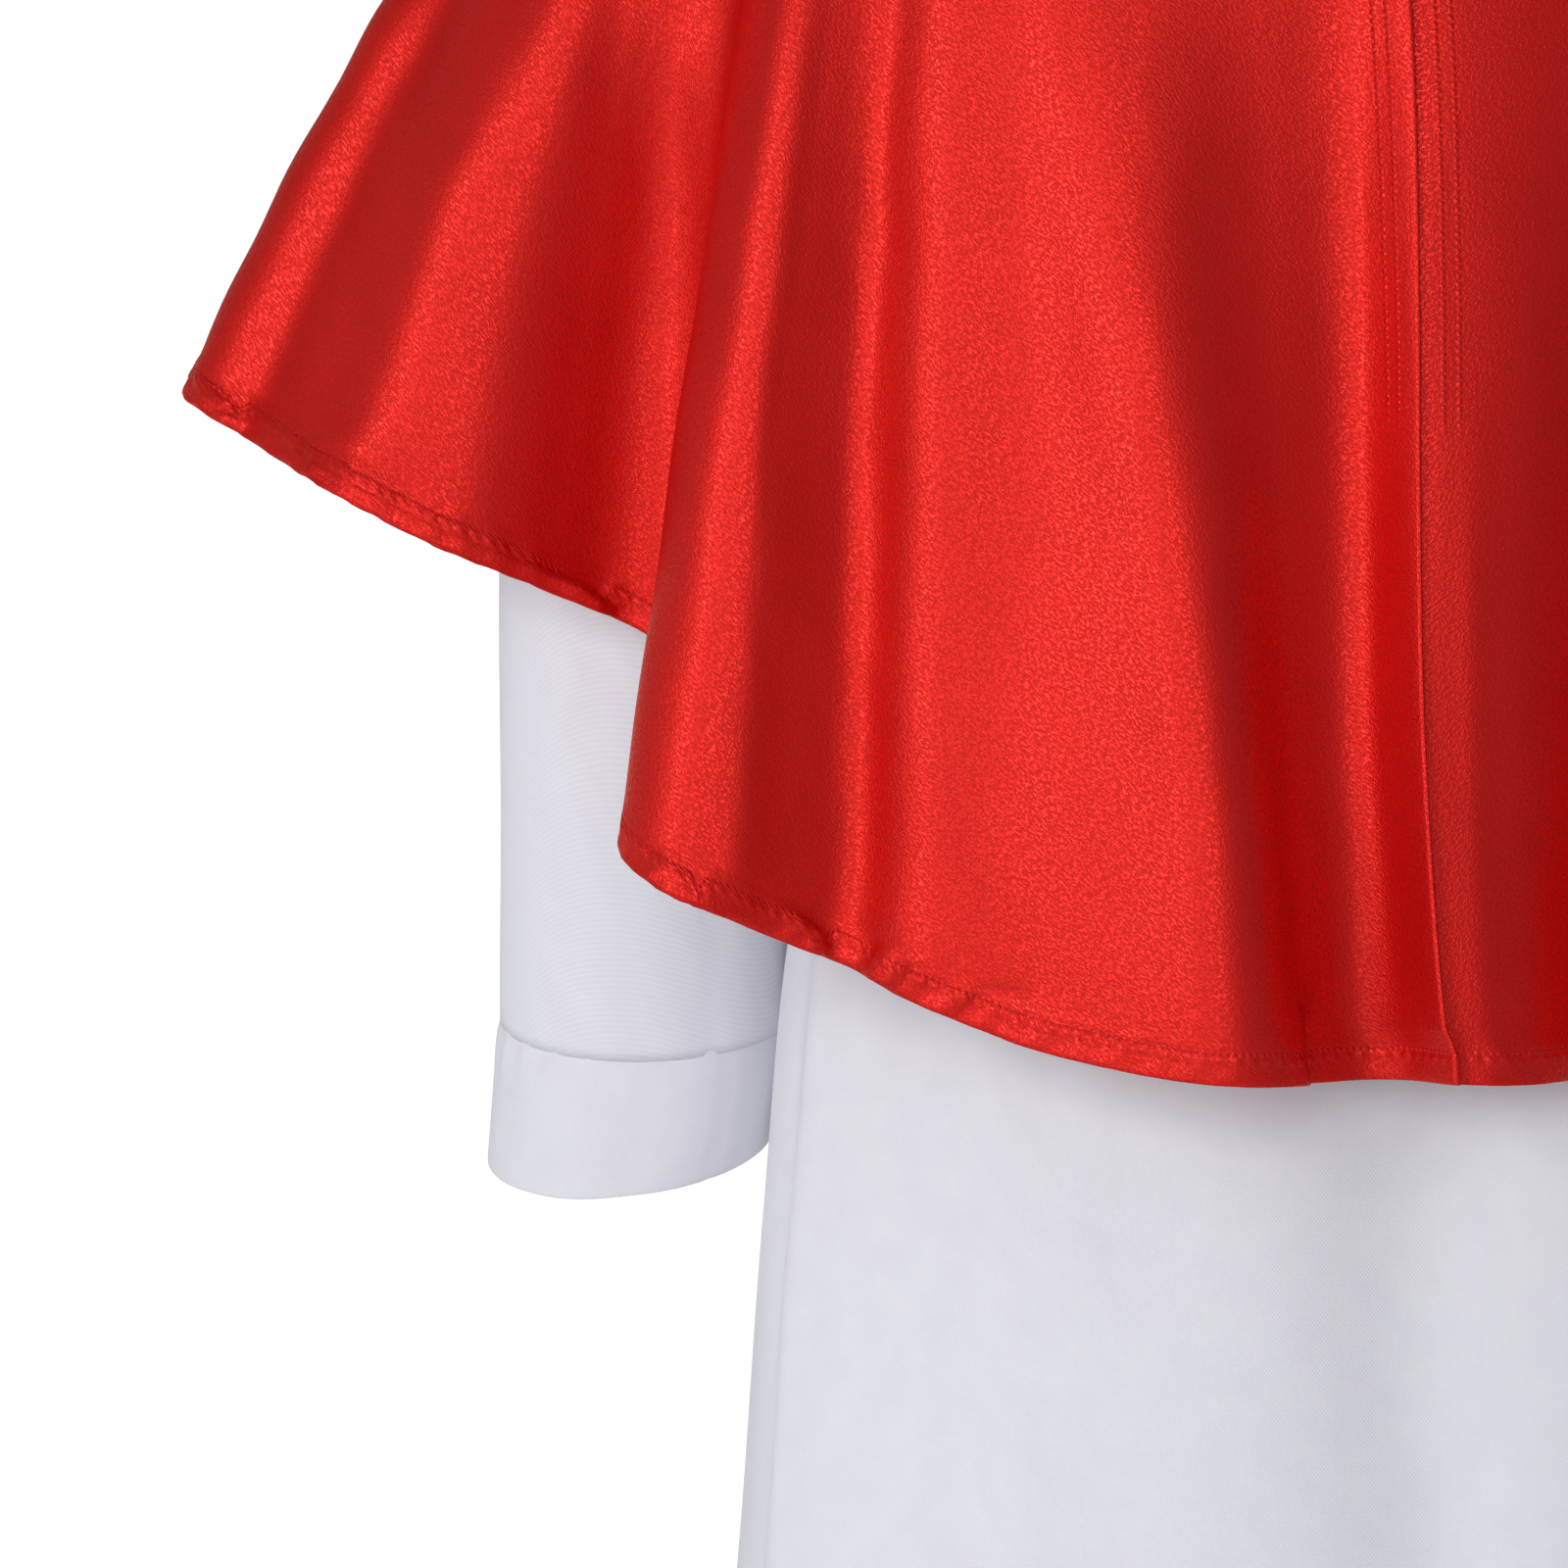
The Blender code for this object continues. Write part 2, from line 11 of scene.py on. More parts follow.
import bmesh
import bpy
import numpy as np
from bpy.props import FloatProperty, FloatVectorProperty, PointerProperty
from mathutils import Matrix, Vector


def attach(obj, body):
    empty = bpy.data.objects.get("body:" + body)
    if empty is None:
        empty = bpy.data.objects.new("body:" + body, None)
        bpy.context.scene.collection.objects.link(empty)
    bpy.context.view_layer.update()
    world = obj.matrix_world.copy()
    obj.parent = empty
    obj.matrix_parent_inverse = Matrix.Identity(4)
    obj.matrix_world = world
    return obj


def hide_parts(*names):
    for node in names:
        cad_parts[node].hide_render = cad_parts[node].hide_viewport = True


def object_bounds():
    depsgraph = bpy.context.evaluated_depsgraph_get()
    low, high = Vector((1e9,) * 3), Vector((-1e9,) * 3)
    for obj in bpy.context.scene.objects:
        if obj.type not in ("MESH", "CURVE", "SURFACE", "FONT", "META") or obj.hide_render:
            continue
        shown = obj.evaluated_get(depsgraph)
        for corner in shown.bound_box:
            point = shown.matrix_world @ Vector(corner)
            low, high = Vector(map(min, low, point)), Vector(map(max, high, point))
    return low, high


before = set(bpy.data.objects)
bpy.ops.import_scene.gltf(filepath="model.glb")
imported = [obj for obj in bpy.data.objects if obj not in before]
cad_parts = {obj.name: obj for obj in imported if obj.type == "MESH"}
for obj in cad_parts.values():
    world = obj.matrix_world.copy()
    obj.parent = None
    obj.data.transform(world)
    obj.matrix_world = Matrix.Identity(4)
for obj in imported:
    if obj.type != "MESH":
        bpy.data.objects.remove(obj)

bl_info = {
    "name": "Priest robe",
    "version": (1, 0, 0),
    "blender": (4, 5, 0),
    "location": "3D View > Sidebar > Priest robe",
    "description": "Makes the cloth, hems and stitches of a priest robe with a shoulder cape",
    "category": "Object",
}

CAD_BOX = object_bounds()

CLOTH_MAP = "cloth"
WELD = 0.000001

# The solids' walls and seam gaps, as they are in the frame
TWILL = 0.0015
SATIN = 0.0012
SEAM = 0.0003
REST = 0.0006

# The cloth itself, thinner than the solids it lies in
TWILL_CLOTH = 0.0008
SATIN_CLOTH = 0.0006

# Robe: neck, shoulder line and armhole
NECK_WIDTH = 0.070
NECK_BACK = 0.062
NECK_FRONT = 0.070
NECK_Z_SIDE = 0.002
NECK_Z_BACK = 0.012
NECK_Z_FRONT = -0.030
NECK_SHARE = 6 / 14
SHOULDER_X = 0.205
SHOULDER_Z = -0.050
UNDERARM_Z = -0.240
ARMHOLE_DEPTH = 0.058
ARMHOLE_SCOOP = 0.022
ARMHOLE_EASE = 0.0012
BAND_RISE = 0.034
BAND_TUCK = 0.001
BAND_LEAN = 0.004
BODY_POWER = 2.5

# Robe: rows of the panels down to the underarm and to the hem
ARMHOLE_ROWS = 8
SKIRT_ROWS = 10

# Robe above the underarm, one row for each height: back and front depth at
# the centre line, centre heights of back and front, the sag between the
# centre line and the armhole, and how far round the cloth turns at the
# armhole, in degrees.
YOKE = (
    # back_y, front_y, back_z, front_z, sag, turn
    (0.085, -0.088, -0.016, -0.052, 0.014, 50.0),
    (0.102, -0.1, -0.042, -0.074, 0.016, 50.0),
    (0.114, -0.109, -0.068, -0.098, 0.01, 51.0),
    (0.121, -0.116, -0.099, -0.124, 0.007, 53.0),
    (0.125, -0.12, -0.133, -0.152, 0.004, 56.0),
    (0.127, -0.122, -0.169, -0.181, 0.002, 62.0),
    (0.128, -0.122, -0.205, -0.21, 0.0, 73.0),
)

# Robe below the underarm, one row for each height: half-width, depth behind
# and in front, and how deep the soft upright folds are.
SKIRT = (
    # z, half_width, back, front, fold
    (-0.24, 0.2, 0.128, 0.121, 0.0),
    (-0.33, 0.199, 0.126, 0.119, 0.0),
    (-0.45, 0.206, 0.127, 0.12, 0.001),
    (-0.58, 0.232, 0.134, 0.126, 0.002),
    (-0.7, 0.243, 0.146, 0.136, 0.004),
    (-0.85, 0.253, 0.164, 0.152, 0.007),
    (-1.05, 0.271, 0.19, 0.176, 0.011),
    (-1.28, 0.292, 0.222, 0.208, 0.015),
    (-1.5, 0.314, 0.254, 0.24, 0.019),
)

# Upright folds of the robe's skirt: middle in degrees from the centre back
# round by the left, width in degrees, and depth as a share of the row's fold.
SKIRT_FOLDS = (
    # middle, width, share
    (-158.0, 17.0, 0.9),
    (-122.0, 15.0, 1.1),
    (-84.0, 13.0, 0.8),
    (-47.0, 15.0, 1.2),
    (-8.0, 19.0, 0.5),
    (33.0, 16.0, 1.0),
    (62.0, 12.0, 1.1),
    (97.0, 14.0, 0.9),
    (131.0, 16.0, 1.2),
    (166.0, 14.0, 0.8),
)
SKIRT_FOLD_MIDDLE = 0.45

# Left sleeve below the armhole, one row for each ring: its outer and inner
# points, the middle of its depth, half its depth, and the drop of its back.
SLEEVE = (
    # outer_x, outer_z, inner_x, inner_z, y, half_depth, drop
    (0.225, -0.0575, 0.2055, -0.2355, 0.0, 0.061, 0.0),
    (0.25, -0.076, 0.2115, -0.2395, 0.0, 0.06, 0.0),
    (0.276, -0.11, 0.2165, -0.256, 0.0, 0.0585, 0.001),
    (0.298, -0.155, 0.219, -0.282, 0.0, 0.0565, 0.002),
    (0.317, -0.215, 0.2205, -0.315, 0.0, 0.0545, 0.004),
    (0.333, -0.288, 0.2225, -0.356, -0.002, 0.053, 0.007),
    (0.343, -0.365, 0.226, -0.405, -0.007, 0.052, 0.01),
    (0.3465, -0.44, 0.23, -0.46, -0.015, 0.051, 0.012),
    (0.347, -0.505, 0.233, -0.515, -0.03, 0.049, 0.013),
    (0.3465, -0.57, 0.2345, -0.574, -0.046, 0.047, 0.013),
    (0.3465, -0.628, 0.235, -0.625, -0.06, 0.045, 0.012),
)

# Left cuff, one row for each ring, in the same columns as the sleeve
CUFF = (
    # outer_x, outer_z, inner_x, inner_z, y, half_depth, drop
    (0.3487, -0.6265, 0.2328, -0.6235, -0.0596, 0.0471, 0.012),
    (0.3493, -0.632, 0.2334, -0.6285, -0.061, 0.0474, 0.012),
    (0.3513, -0.659, 0.237, -0.652, -0.0675, 0.0474, 0.013),
    (0.3535, -0.686, 0.2425, -0.6735, -0.074, 0.0472, 0.014),
)

# Cape rings from the neck to where the cloth leaves the shoulders: half-width,
# depths, and heights at the side, back and front.
NECK_OUT = TWILL + REST + SATIN + SEAM
CAPE_RINGS = (
    # half_width, back, front, z_side, z_back, z_front, power
    (NECK_WIDTH + NECK_OUT, NECK_BACK + NECK_OUT, NECK_FRONT + NECK_OUT, 0.0036, 0.0145, -0.0270, 2.0),
    (0.15, 0.112, 0.106, -0.0262, -0.029, -0.066, 2.2),
    (0.235, 0.133, 0.129, -0.056, -0.115, -0.125, 2.4),
)

# Folds of the cape's left half from the centre back to the centre front. Each
# row has the fold's direction in degrees, its foot on the hem, and how far the
# cloth runs outward for each unit of drop, where it leaves the shoulder and at
# the hem.
LEFT_FOLDS = (
    # direction, x, y, z, out_top, out_hem
    (1.7, -0.0185, 0.19, -0.62, 0.25, 0.1),
    (7.0, 0.01, 0.168, -0.622, 0.22, 0.02),
    (14.0, 0.036, 0.176, -0.622, 0.24, 0.05),
    (22.0, 0.068, 0.202, -0.62, 0.26, 0.1),
    (30.0, 0.106, 0.196, -0.616, 0.26, 0.08),
    (36.0, 0.147, 0.178, -0.608, 0.26, 0.05),
    (41.0, 0.18, 0.165, -0.596, 0.3, 0.05),
    (46.0, 0.213, 0.15, -0.582, 0.34, 0.04),
    (50.5, 0.249, 0.153, -0.567, 0.38, 0.08),
    (54.0, 0.28, 0.16, -0.553, 0.42, 0.14),
    (57.0, 0.298, 0.139, -0.539, 0.42, 0.16),
    (60.5, 0.29, 0.106, -0.523, 0.42, 0.14),
    (64.5, 0.273, 0.078, -0.5, 0.46, 0.04),
    (69.0, 0.287, 0.063, -0.467, 0.62, 0.06),
    (73.5, 0.326, 0.068, -0.4475, 0.92, 0.22),
    (78.0, 0.372, 0.077, -0.428, 1.1, 0.36),
    (82.0, 0.412, 0.056, -0.408, 1.22, 0.42),
    (86.0, 0.443, 0.03, -0.392, 1.32, 0.44),
    (90.0, 0.468, 0.004, -0.378, 1.34, 0.46),
    (95.0, 0.453, -0.034, -0.383, 1.4, 0.48),
    (101.0, 0.41, -0.085, -0.401, 1.25, 0.44),
    (107.0, 0.358, -0.125, -0.427, 1.05, 0.36),
    (112.0, 0.3, -0.117, -0.46, 0.7, 0.16),
    (116.5, 0.263, -0.128, -0.483, 0.54, 0.1),
    (121.0, 0.262, -0.164, -0.507, 0.5, 0.14),
    (126.0, 0.268, -0.198, -0.528, 0.46, 0.16),
    (132.0, 0.24, -0.215, -0.545, 0.4, 0.14),
    (141.0, 0.185, -0.19, -0.565, 0.34, 0.08),
    (150.0, 0.13, -0.212, -0.58, 0.3, 0.12),
    (160.0, 0.075, -0.192, -0.59, 0.26, 0.06),
    (170.0, 0.035, -0.203, -0.594, 0.26, 0.08),
    (180.0, 0.0, -0.212, -0.595, 0.26, 0.1),
)

# Folds of the cape's right half, in the same columns, mirrored to the left
RIGHT_FOLDS = (
    # direction, x, y, z, out_top, out_hem
    (-1.7, 0.0185, 0.19, -0.62, 0.25, 0.1),
    (7.0, 0.046, 0.182, -0.6215, 0.24, 0.07),
    (15.0, 0.08, 0.156, -0.622, 0.22, 0.03),
    (23.0, 0.112, 0.168, -0.62, 0.24, 0.06),
    (31.0, 0.142, 0.19, -0.612, 0.28, 0.1),
    (38.0, 0.178, 0.184, -0.599, 0.3, 0.1),
    (44.0, 0.208, 0.157, -0.586, 0.32, 0.05),
    (49.5, 0.246, 0.15, -0.57, 0.38, 0.06),
    (54.0, 0.281, 0.162, -0.553, 0.42, 0.14),
    (57.5, 0.301, 0.137, -0.538, 0.42, 0.16),
    (61.0, 0.294, 0.106, -0.522, 0.42, 0.14),
    (65.0, 0.276, 0.078, -0.499, 0.46, 0.04),
    (69.5, 0.291, 0.064, -0.466, 0.62, 0.06),
    (74.0, 0.331, 0.07, -0.446, 0.94, 0.22),
    (79.0, 0.381, 0.074, -0.424, 1.12, 0.36),
    (84.0, 0.43, 0.04, -0.399, 1.28, 0.43),
    (90.0, 0.466, -0.002, -0.379, 1.34, 0.46),
    (96.0, 0.445, -0.044, -0.387, 1.38, 0.47),
    (102.0, 0.4, -0.092, -0.405, 1.22, 0.43),
    (108.0, 0.347, -0.128, -0.433, 1.0, 0.34),
    (113.0, 0.29, -0.12, -0.464, 0.68, 0.16),
    (117.5, 0.256, -0.132, -0.487, 0.52, 0.1),
    (122.0, 0.255, -0.168, -0.51, 0.5, 0.14),
    (127.0, 0.259, -0.2, -0.53, 0.46, 0.16),
    (134.0, 0.226, -0.214, -0.548, 0.4, 0.13),
    (143.0, 0.172, -0.191, -0.569, 0.33, 0.08),
    (152.0, 0.118, -0.209, -0.582, 0.3, 0.11),
    (161.0, 0.07, -0.194, -0.59, 0.26, 0.06),
    (170.0, 0.034, -0.204, -0.594, 0.26, 0.08),
    (180.0, 0.0, -0.212, -0.595, 0.26, 0.1),
)

# Cape neckband: heights of its edges over the neckline
CAPE_BAND_RISE = 0.018
CAPE_BAND_FOOT = 0.0022

# The flat cut of each sheet: width and length, and the area where it isn't a
# rectangle. The robe's panels are given without their hems, which are added as
# they are made. Sleeves and cuffs are stated all round.
CUTS = {
    "robe_back": ((0.97, 1.57), 1.02),
    "robe_front_left": ((0.48, 1.57), 0.50),
    "robe_front_right": ((0.48, 1.57), 0.50),
    "robe_neckband": ((0.43, 0.036), None),
    "sleeve": ((0.50, 0.63), 0.187),
    "cuff": ((0.34, 0.083), 0.028),
    "cape": ((1.36, 0.66), 0.53),
    "cape_neckband": ((0.44, 0.016), None),
}

# Fine grids: rows and columns of each sheet
YOKE_FINE = 38
SKIRT_FINE = 84
PANEL_FINE = 96
SLEEVE_FINE = 96
SLEEVE_ROWS_FINE = 118
CUFF_ROWS_FINE = 34
BAND_ROWS = 10
BAND_COLUMNS = 192
CAPE_TOP_FINE = 28
CAPE_FALL_FINE = 66
CAPE_FINE = 352
FOLD_ROWS = 3

# Distances from a sewn edge where a panel's grid is closer, in metres, and
# the length of a grid row and the width of a panel that they are shares of
EDGE_STEPS = (0.0, 0.0010, 0.0022, 0.0038, 0.0060)
YOKE_ROW = 0.034
HEM_ROW = 0.176
PANEL_WIDTH = 0.25
CAPE_EDGE_STEPS = (
    0.0, 0.0014, 0.0028, 0.0042, 0.0056, 0.0070, 0.0084, 0.0098, 0.0112, 0.0126, 0.0140, 0.0156, 0.0175,
)
CAPE_FOLD_WIDTH = 0.022

# Hems: depth of the turned part and the grid steps in it
ROBE_HEM = 0.025
ROBE_HEM_STEPS = 10
ROBE_TURN_ROWS = 9
CAPE_HEM = 0.0115
CAPE_HEM_STEP = 0.00115
CAPE_HEM_STEPS = 18
CAPE_TURN_ROWS = 11
CUFF_TURN_ROWS = 12
HEM_GAP = 0.0001
HEM_GROOVE = 0.00035
HEM_GROOVE_WIDTH = 0.0013

# Sewn edges: how deep and how wide the cloth is drawn in
SEAM_DIP = 0.0007
SEAM_SOFT = 0.0022

# Stitches: how far a stitch's middle lies over the cloth, as a share of its
# thread, and how round its bead of thread is
STITCH_RISE = 0.15
BEAD_SIDES = 6
BEAD_RINGS = 4

# Slight unevenness of the hanging cloth: the size of its bumps, where it fades
# at an edge, its height on each cloth, and how its waves are drawn and summed
WAVER_SIZE = 0.070
WAVER_EDGE = 0.020
WAVER_ROBE = 0.0006
WAVER_CAPE = 0.0008
WAVER_WAVES = 7
WAVER_RANGE = (0.7, 1.8)
WAVER_DOWN = 0.6
WAVER_SUM = 4.0

# Seeds of the random draws
SEEDS = {
    "robe_back": 11, "robe_front_left": 12, "robe_front_right": 13,
    "cape_left": 21, "cape_right": 22, "cape_left_hem": 31, "cape_right_hem": 32,
}

# Puckers between the cape's hem stitches and its edge
PUCKER_SPACING = (0.009, 0.021)
PUCKER_RISE = (0.0005, 0.0015)
PUCKER_WIDTH = (0.0026, 0.0050)
PUCKER_SLANT = (0.5, 1.2)
PUCKER_TOP = 0.0175
PUCKER_FADE = 0.007
PUCKER_FOOT = 0.002
PUCKER_EDGE = 0.020
HEM_STRENGTH_LEFT = (
    0.3, 0.3, 0.7, 1.8, 1.1, 0.4, 0.5, 1.3, 1.1, 0.7, 0.4, 0.6, 1.0, 1.2, 0.8, 0.6, 0.6, 0.4,
)
HEM_STRENGTH_RIGHT = (
    0.3, 0.5, 0.9, 1.3, 0.8, 0.5, 0.7, 1.2, 1.0, 0.5, 0.4, 0.7, 1.1, 0.9, 0.5, 0.6, 0.7, 0.4,
)

# The cape's centre back: the left half laps over the right, and stitches hold
# the zip tape down to where the zip ends
LAP_RISE = 0.0011
LAP_TUCK = 0.0007
LAP_OVER = 0.0032
LAP_SOFT = 0.011
ZIP_STITCHES_LEFT = (0.0105, 0.0165)
ZIP_STITCHES_RIGHT = (0.0075, 0.0150)
ZIP_RIPPLE = 0.0062
ZIP_RIPPLE_WIDTH = 0.0026
ZIP_RIPPLE_RISE = 0.00022
ZIP_STRAY = 1.7
ZIP_STRAY_PACE = 61.0
ZIP_FADE = 0.030
ZIP_FIRST_ROW = 2
ZIP_END_SHARE = 0.44

# Cuffs: small puckers under the seam, where the cuff is tucked in and the
# sleeve's end is let out so that they meet flush
CUFF_PUCKER = 0.0010
CUFF_WAVES = 21
CUFF_STRAY = 3.0
CUFF_SIDE = (1.5, 0.6)
CUFF_START = 0.006
CUFF_FADE = 0.016
CUFF_TUCK = 0.0009
CUFF_STITCH_ROW = 3
SLEEVE_FLARE = 0.0016
SLEEVE_FLARE_LENGTH = 0.12

# Creases. Each row runs between two places on its panel, given as shares of
# its columns and rows: bow bends it sideways, and width and rise are in metres.
# It is read at a few marks, with steps between them, and tapers at its ends.
CREASE_MARKS = 24
CREASE_STEPS = 96
CREASE_START = 0.30
CREASE_END = 0.35
CREASE_RUN_OFF = 0.05
BACK_CREASES = (
    # across_0, down_0, across_1, down_1, bow, width, rise
    (0.56, 0.42, 0.565, 1.1, 0.0, 0.05, 0.008),
    (0.5, 0.44, 0.492, 1.1, 0.0, 0.028, -0.005),
    (0.435, 0.42, 0.43, 1.1, 0.0, 0.04, 0.0065),
    (0.745, 0.42, 0.765, 1.1, 0.0, 0.024, -0.0065),
    (0.868, 0.44, 0.872, 1.1, 0.0, 0.011, 0.0045),
    (0.905, 0.44, 0.915, 1.1, 0.0, 0.014, -0.003),
    (0.265, 0.42, 0.24, 1.1, 0.0, 0.026, -0.006),
    (0.135, 0.46, 0.125, 1.1, 0.0, 0.013, 0.0045),
    (0.6, 0.46, 0.64, 0.64, 0.01, 0.012, 0.0012),
    (0.38, 0.44, 0.35, 0.6, 0.01, 0.012, 0.0014),
)
FRONT_LEFT_CREASES = (
    (0.26, 0.42, 0.25, 1.1, 0.0, 0.03, 0.0055),
    (0.46, 0.44, 0.5, 1.1, 0.01, 0.026, -0.006),
    (0.74, 0.42, 0.76, 1.1, 0.0, 0.022, 0.005),
    (0.9, 0.46, 0.91, 1.1, 0.0, 0.014, -0.0035),
    (0.1, 0.44, 0.06, 0.66, 0.01, 0.012, 0.0016),
)
FRONT_RIGHT_CREASES = (
    (0.3, 0.44, 0.32, 1.1, 0.0, 0.028, 0.005),
    (0.52, 0.42, 0.55, 1.1, -0.01, 0.024, -0.0055),
    (0.77, 0.46, 0.75, 1.1, 0.0, 0.02, 0.0055),
    (0.91, 0.44, 0.9, 1.1, 0.0, 0.013, -0.003),
    (0.14, 0.5, 0.09, 0.72, 0.01, 0.012, 0.0014),
)
SLEEVE_LEFT_CREASES = (
    (0.17, 0.75, 0.11, 0.83, 0.01, 0.006, 0.0016),
    (0.2, 0.66, 0.24, 0.96, 0.0, 0.02, -0.0022),
    (0.36, 0.62, 0.38, 0.98, 0.0, 0.014, 0.0016),
    (0.47, 0.5, 0.4, 0.6, 0.0, 0.008, 0.002),
    (0.62, 0.56, 0.72, 0.63, 0.01, 0.009, 0.0022),
    (0.6, 0.67, 0.75, 0.72, 0.0, 0.008, 0.0018),
    (0.84, 0.6, 0.8, 0.94, 0.0, 0.016, -0.0018),
    (0.338, 0.2, 0.324, 1.1, 0.0, 0.0045, -0.0007),
)
SLEEVE_RIGHT_CREASES = (
    (0.15, 0.72, 0.1, 0.81, 0.01, 0.006, 0.0015),
    (0.22, 0.64, 0.26, 0.95, 0.0, 0.02, -0.0022),
    (0.38, 0.6, 0.37, 0.97, 0.0, 0.014, 0.0018),
    (0.46, 0.52, 0.38, 0.61, 0.0, 0.008, 0.0022),
    (0.64, 0.54, 0.73, 0.62, 0.01, 0.009, 0.002),
    (0.61, 0.65, 0.76, 0.71, 0.0, 0.008, 0.0018),
    (0.85, 0.58, 0.82, 0.95, 0.0, 0.016, -0.0016),
    (0.338, 0.2, 0.324, 1.1, 0.0, 0.0045, -0.0007),
)
CUFF_CREASES = (
    (0.34, 0.1, 0.34, 1.1, 0.0, 0.0016, -0.0005),
    (0.14, 0.2, 0.18, 1.1, 0.0, 0.012, 0.001),
    (0.24, 0.1, 0.25, 1.1, 0.0, 0.01, -0.0008),
)
CAPE_LEFT_CREASES = (
    (0.044, 0.28, 0.034, 1.12, 0.0, 0.022, -0.0034),
    (0.152, 0.28, 0.078, 1.12, -0.008, 0.027, 0.0085),
    (0.2, 0.3, 0.2, 1.12, 0.0, 0.022, 0.003),
    (0.225, 0.5, 0.24, 0.68, 0.01, 0.018, -0.001),
    (0.238, 0.26, 0.24, 1.12, -0.01, 0.014, -0.007),
    (0.304, 0.28, 0.284, 1.12, -0.024, 0.014, 0.0065),
    (0.178, 0.8, 0.172, 1.12, 0.0, 0.013, -0.0016),
    (0.38, 0.3, 0.4, 0.92, 0.0, 0.014, -0.003),
    (0.59, 0.4, 0.6, 1.12, 0.0, 0.016, 0.0045),
    (0.548, 0.4, 0.556, 1.12, 0.0, 0.014, -0.0045),
    (0.503, 0.52, 0.512, 1.12, 0.0, 0.022, 0.008),
    (0.432, 0.52, 0.436, 1.12, 0.0, 0.026, -0.009),
    (0.69, 0.34, 0.7, 1.1, 0.0, 0.024, -0.005),
    (0.76, 0.34, 0.765, 1.1, 0.0, 0.022, 0.005),
    (0.87, 0.36, 0.88, 1.1, -0.01, 0.02, -0.0045),
    (0.93, 0.36, 0.94, 1.1, 0.0, 0.018, 0.004),
)
CAPE_RIGHT_CREASES = (
    (0.024, 0.52, 0.024, 1.12, 0.0, 0.006, 0.0012),
    (0.085, 0.3, 0.078, 1.12, 0.0, 0.022, -0.008),
    (0.18, 0.3, 0.15, 1.12, 0.01, 0.024, 0.008),
    (0.255, 0.28, 0.25, 1.12, 0.0, 0.016, -0.0065),
    (0.3, 0.32, 0.3, 0.9, 0.0, 0.014, 0.0045),
    (0.39, 0.3, 0.405, 0.92, 0.0, 0.015, -0.0035),
    (0.44, 0.38, 0.455, 0.96, -0.01, 0.02, 0.0045),
    (0.52, 0.34, 0.54, 0.94, 0.0, 0.016, -0.0045),
    (0.68, 0.36, 0.69, 1.1, 0.0, 0.022, -0.0055),
    (0.755, 0.34, 0.765, 1.1, 0.01, 0.022, 0.0045),
    (0.88, 0.34, 0.89, 1.1, 0.0, 0.02, -0.004),
    (0.94, 0.4, 0.945, 1.1, 0.0, 0.016, 0.004),
)

# How far the centre back seam sways to the wearer's left, from neck to hem
SEAM_SWAY = (0.0, 0.0, 0.001, 0.003, 0.0045, 0.0078, 0.0113, 0.013, 0.011, 0.0062, 0.0055)
SEAM_SWAY_REACH = 0.13

# How far the cloth stands out along that seam, and how wide the rise is
SEAM_CREST = (0.0, 0.0, 0.001, 0.003, 0.005, 0.006, 0.0065, 0.0065, 0.006, 0.006, 0.0055)
SEAM_CREST_LEFT = 0.025
SEAM_CREST_RIGHT = 0.062

# Weaves: slant and size of the satin's floats and of the twill's ribs, the
# scales of the noise in each, and the depths of weaves and stitch dimples
FLOAT_TURN = math.radians(35.0)
FLOAT_SIZE = (0.0021, 0.0010, 1.0)
SPECK_SCALE = 1000.0
DRIFT_SCALE = 28.0
GRAIN_CONTRAST = 5.0
SATIN_RELIEF = 0.00010
SATIN_DIMPLE = 0.0004
TWILL_TURN = math.radians(-30.0)
TWILL_PITCH = 0.00115
TWILL_SOFT_SCALE = 55.0
TWILL_FINE_SCALE = 2300.0
TWILL_RELIEF = 0.00014
TWILL_DIMPLE = 0.0003
TWIST_SCALE = 2600.0
TAPE_PITCH = (0.0009, 0.0007)
TAPE_RELIEF = 0.0001

# Rows of stitches that dimple each cloth: the edge they follow, their distance
# from it, how far a dimple spreads, its pitch, and where the row ends. A piece
# with no hem is mapped so far from one that no row reaches it.
HEM_MAP = "hem"
SIDE_MAP = "side"
NO_HEM = 100.0
ROW_END = 9.0
ROW_EASE = 100.0
SATIN_ROWS = (
    # edge, distance, spread, pitch, end
    (HEM_MAP, CAPE_HEM, 0.0011, 0.0028, ROW_END),
    (HEM_MAP, CAPE_HEM - 0.0024, 0.0026, 0.0061, ROW_END),
    (SIDE_MAP, 0.0105, 0.0011, 0.0028, 0.425),
    (SIDE_MAP, 0.0165, 0.0011, 0.0031, 0.425),
)
TWILL_ROWS = (
    (HEM_MAP, ROBE_HEM, 0.0010, 0.0028, ROW_END),
    (HEM_MAP, 0.0060, 0.0008, 0.0028, ROW_END),
)

# The stage
SENSOR = 36.0
CAMERA_DISTANCE = 4.0
CAMERA_RISE = 6.0
CAMERA_AIM = (0.237, 0.12, -0.516)
VIEW_WIDTH = 0.593
FLOOR_RADIUS = 60.0
FLOOR_CORNERS = 96
FLOOR_Z = CAD_BOX[0][2] - 0.060
FLOOR_NEAR = 1.2
FLOOR_FADE = 2.4
FLOOR_GLOW = 0.85
WORLD_STRENGTH = 0.34
LIGHTS = (
    # name, place, aim, size, watts
    ("key", (2.45, 2.25, 0.2), (0.1, 0.1, -0.6), (0.9, 2.0), 38.0),
    ("fill", (0.65, 3.3, 0.2), (0.1, 0.1, -0.6), (1.4, 2.0), 27.0),
    ("front", (-1.6, -3.0, 0.8), (0.0, 0.0, -0.6), (2.0, 2.4), 26.0),
)


# Sheets of cloth as grids of points, rows down and columns across

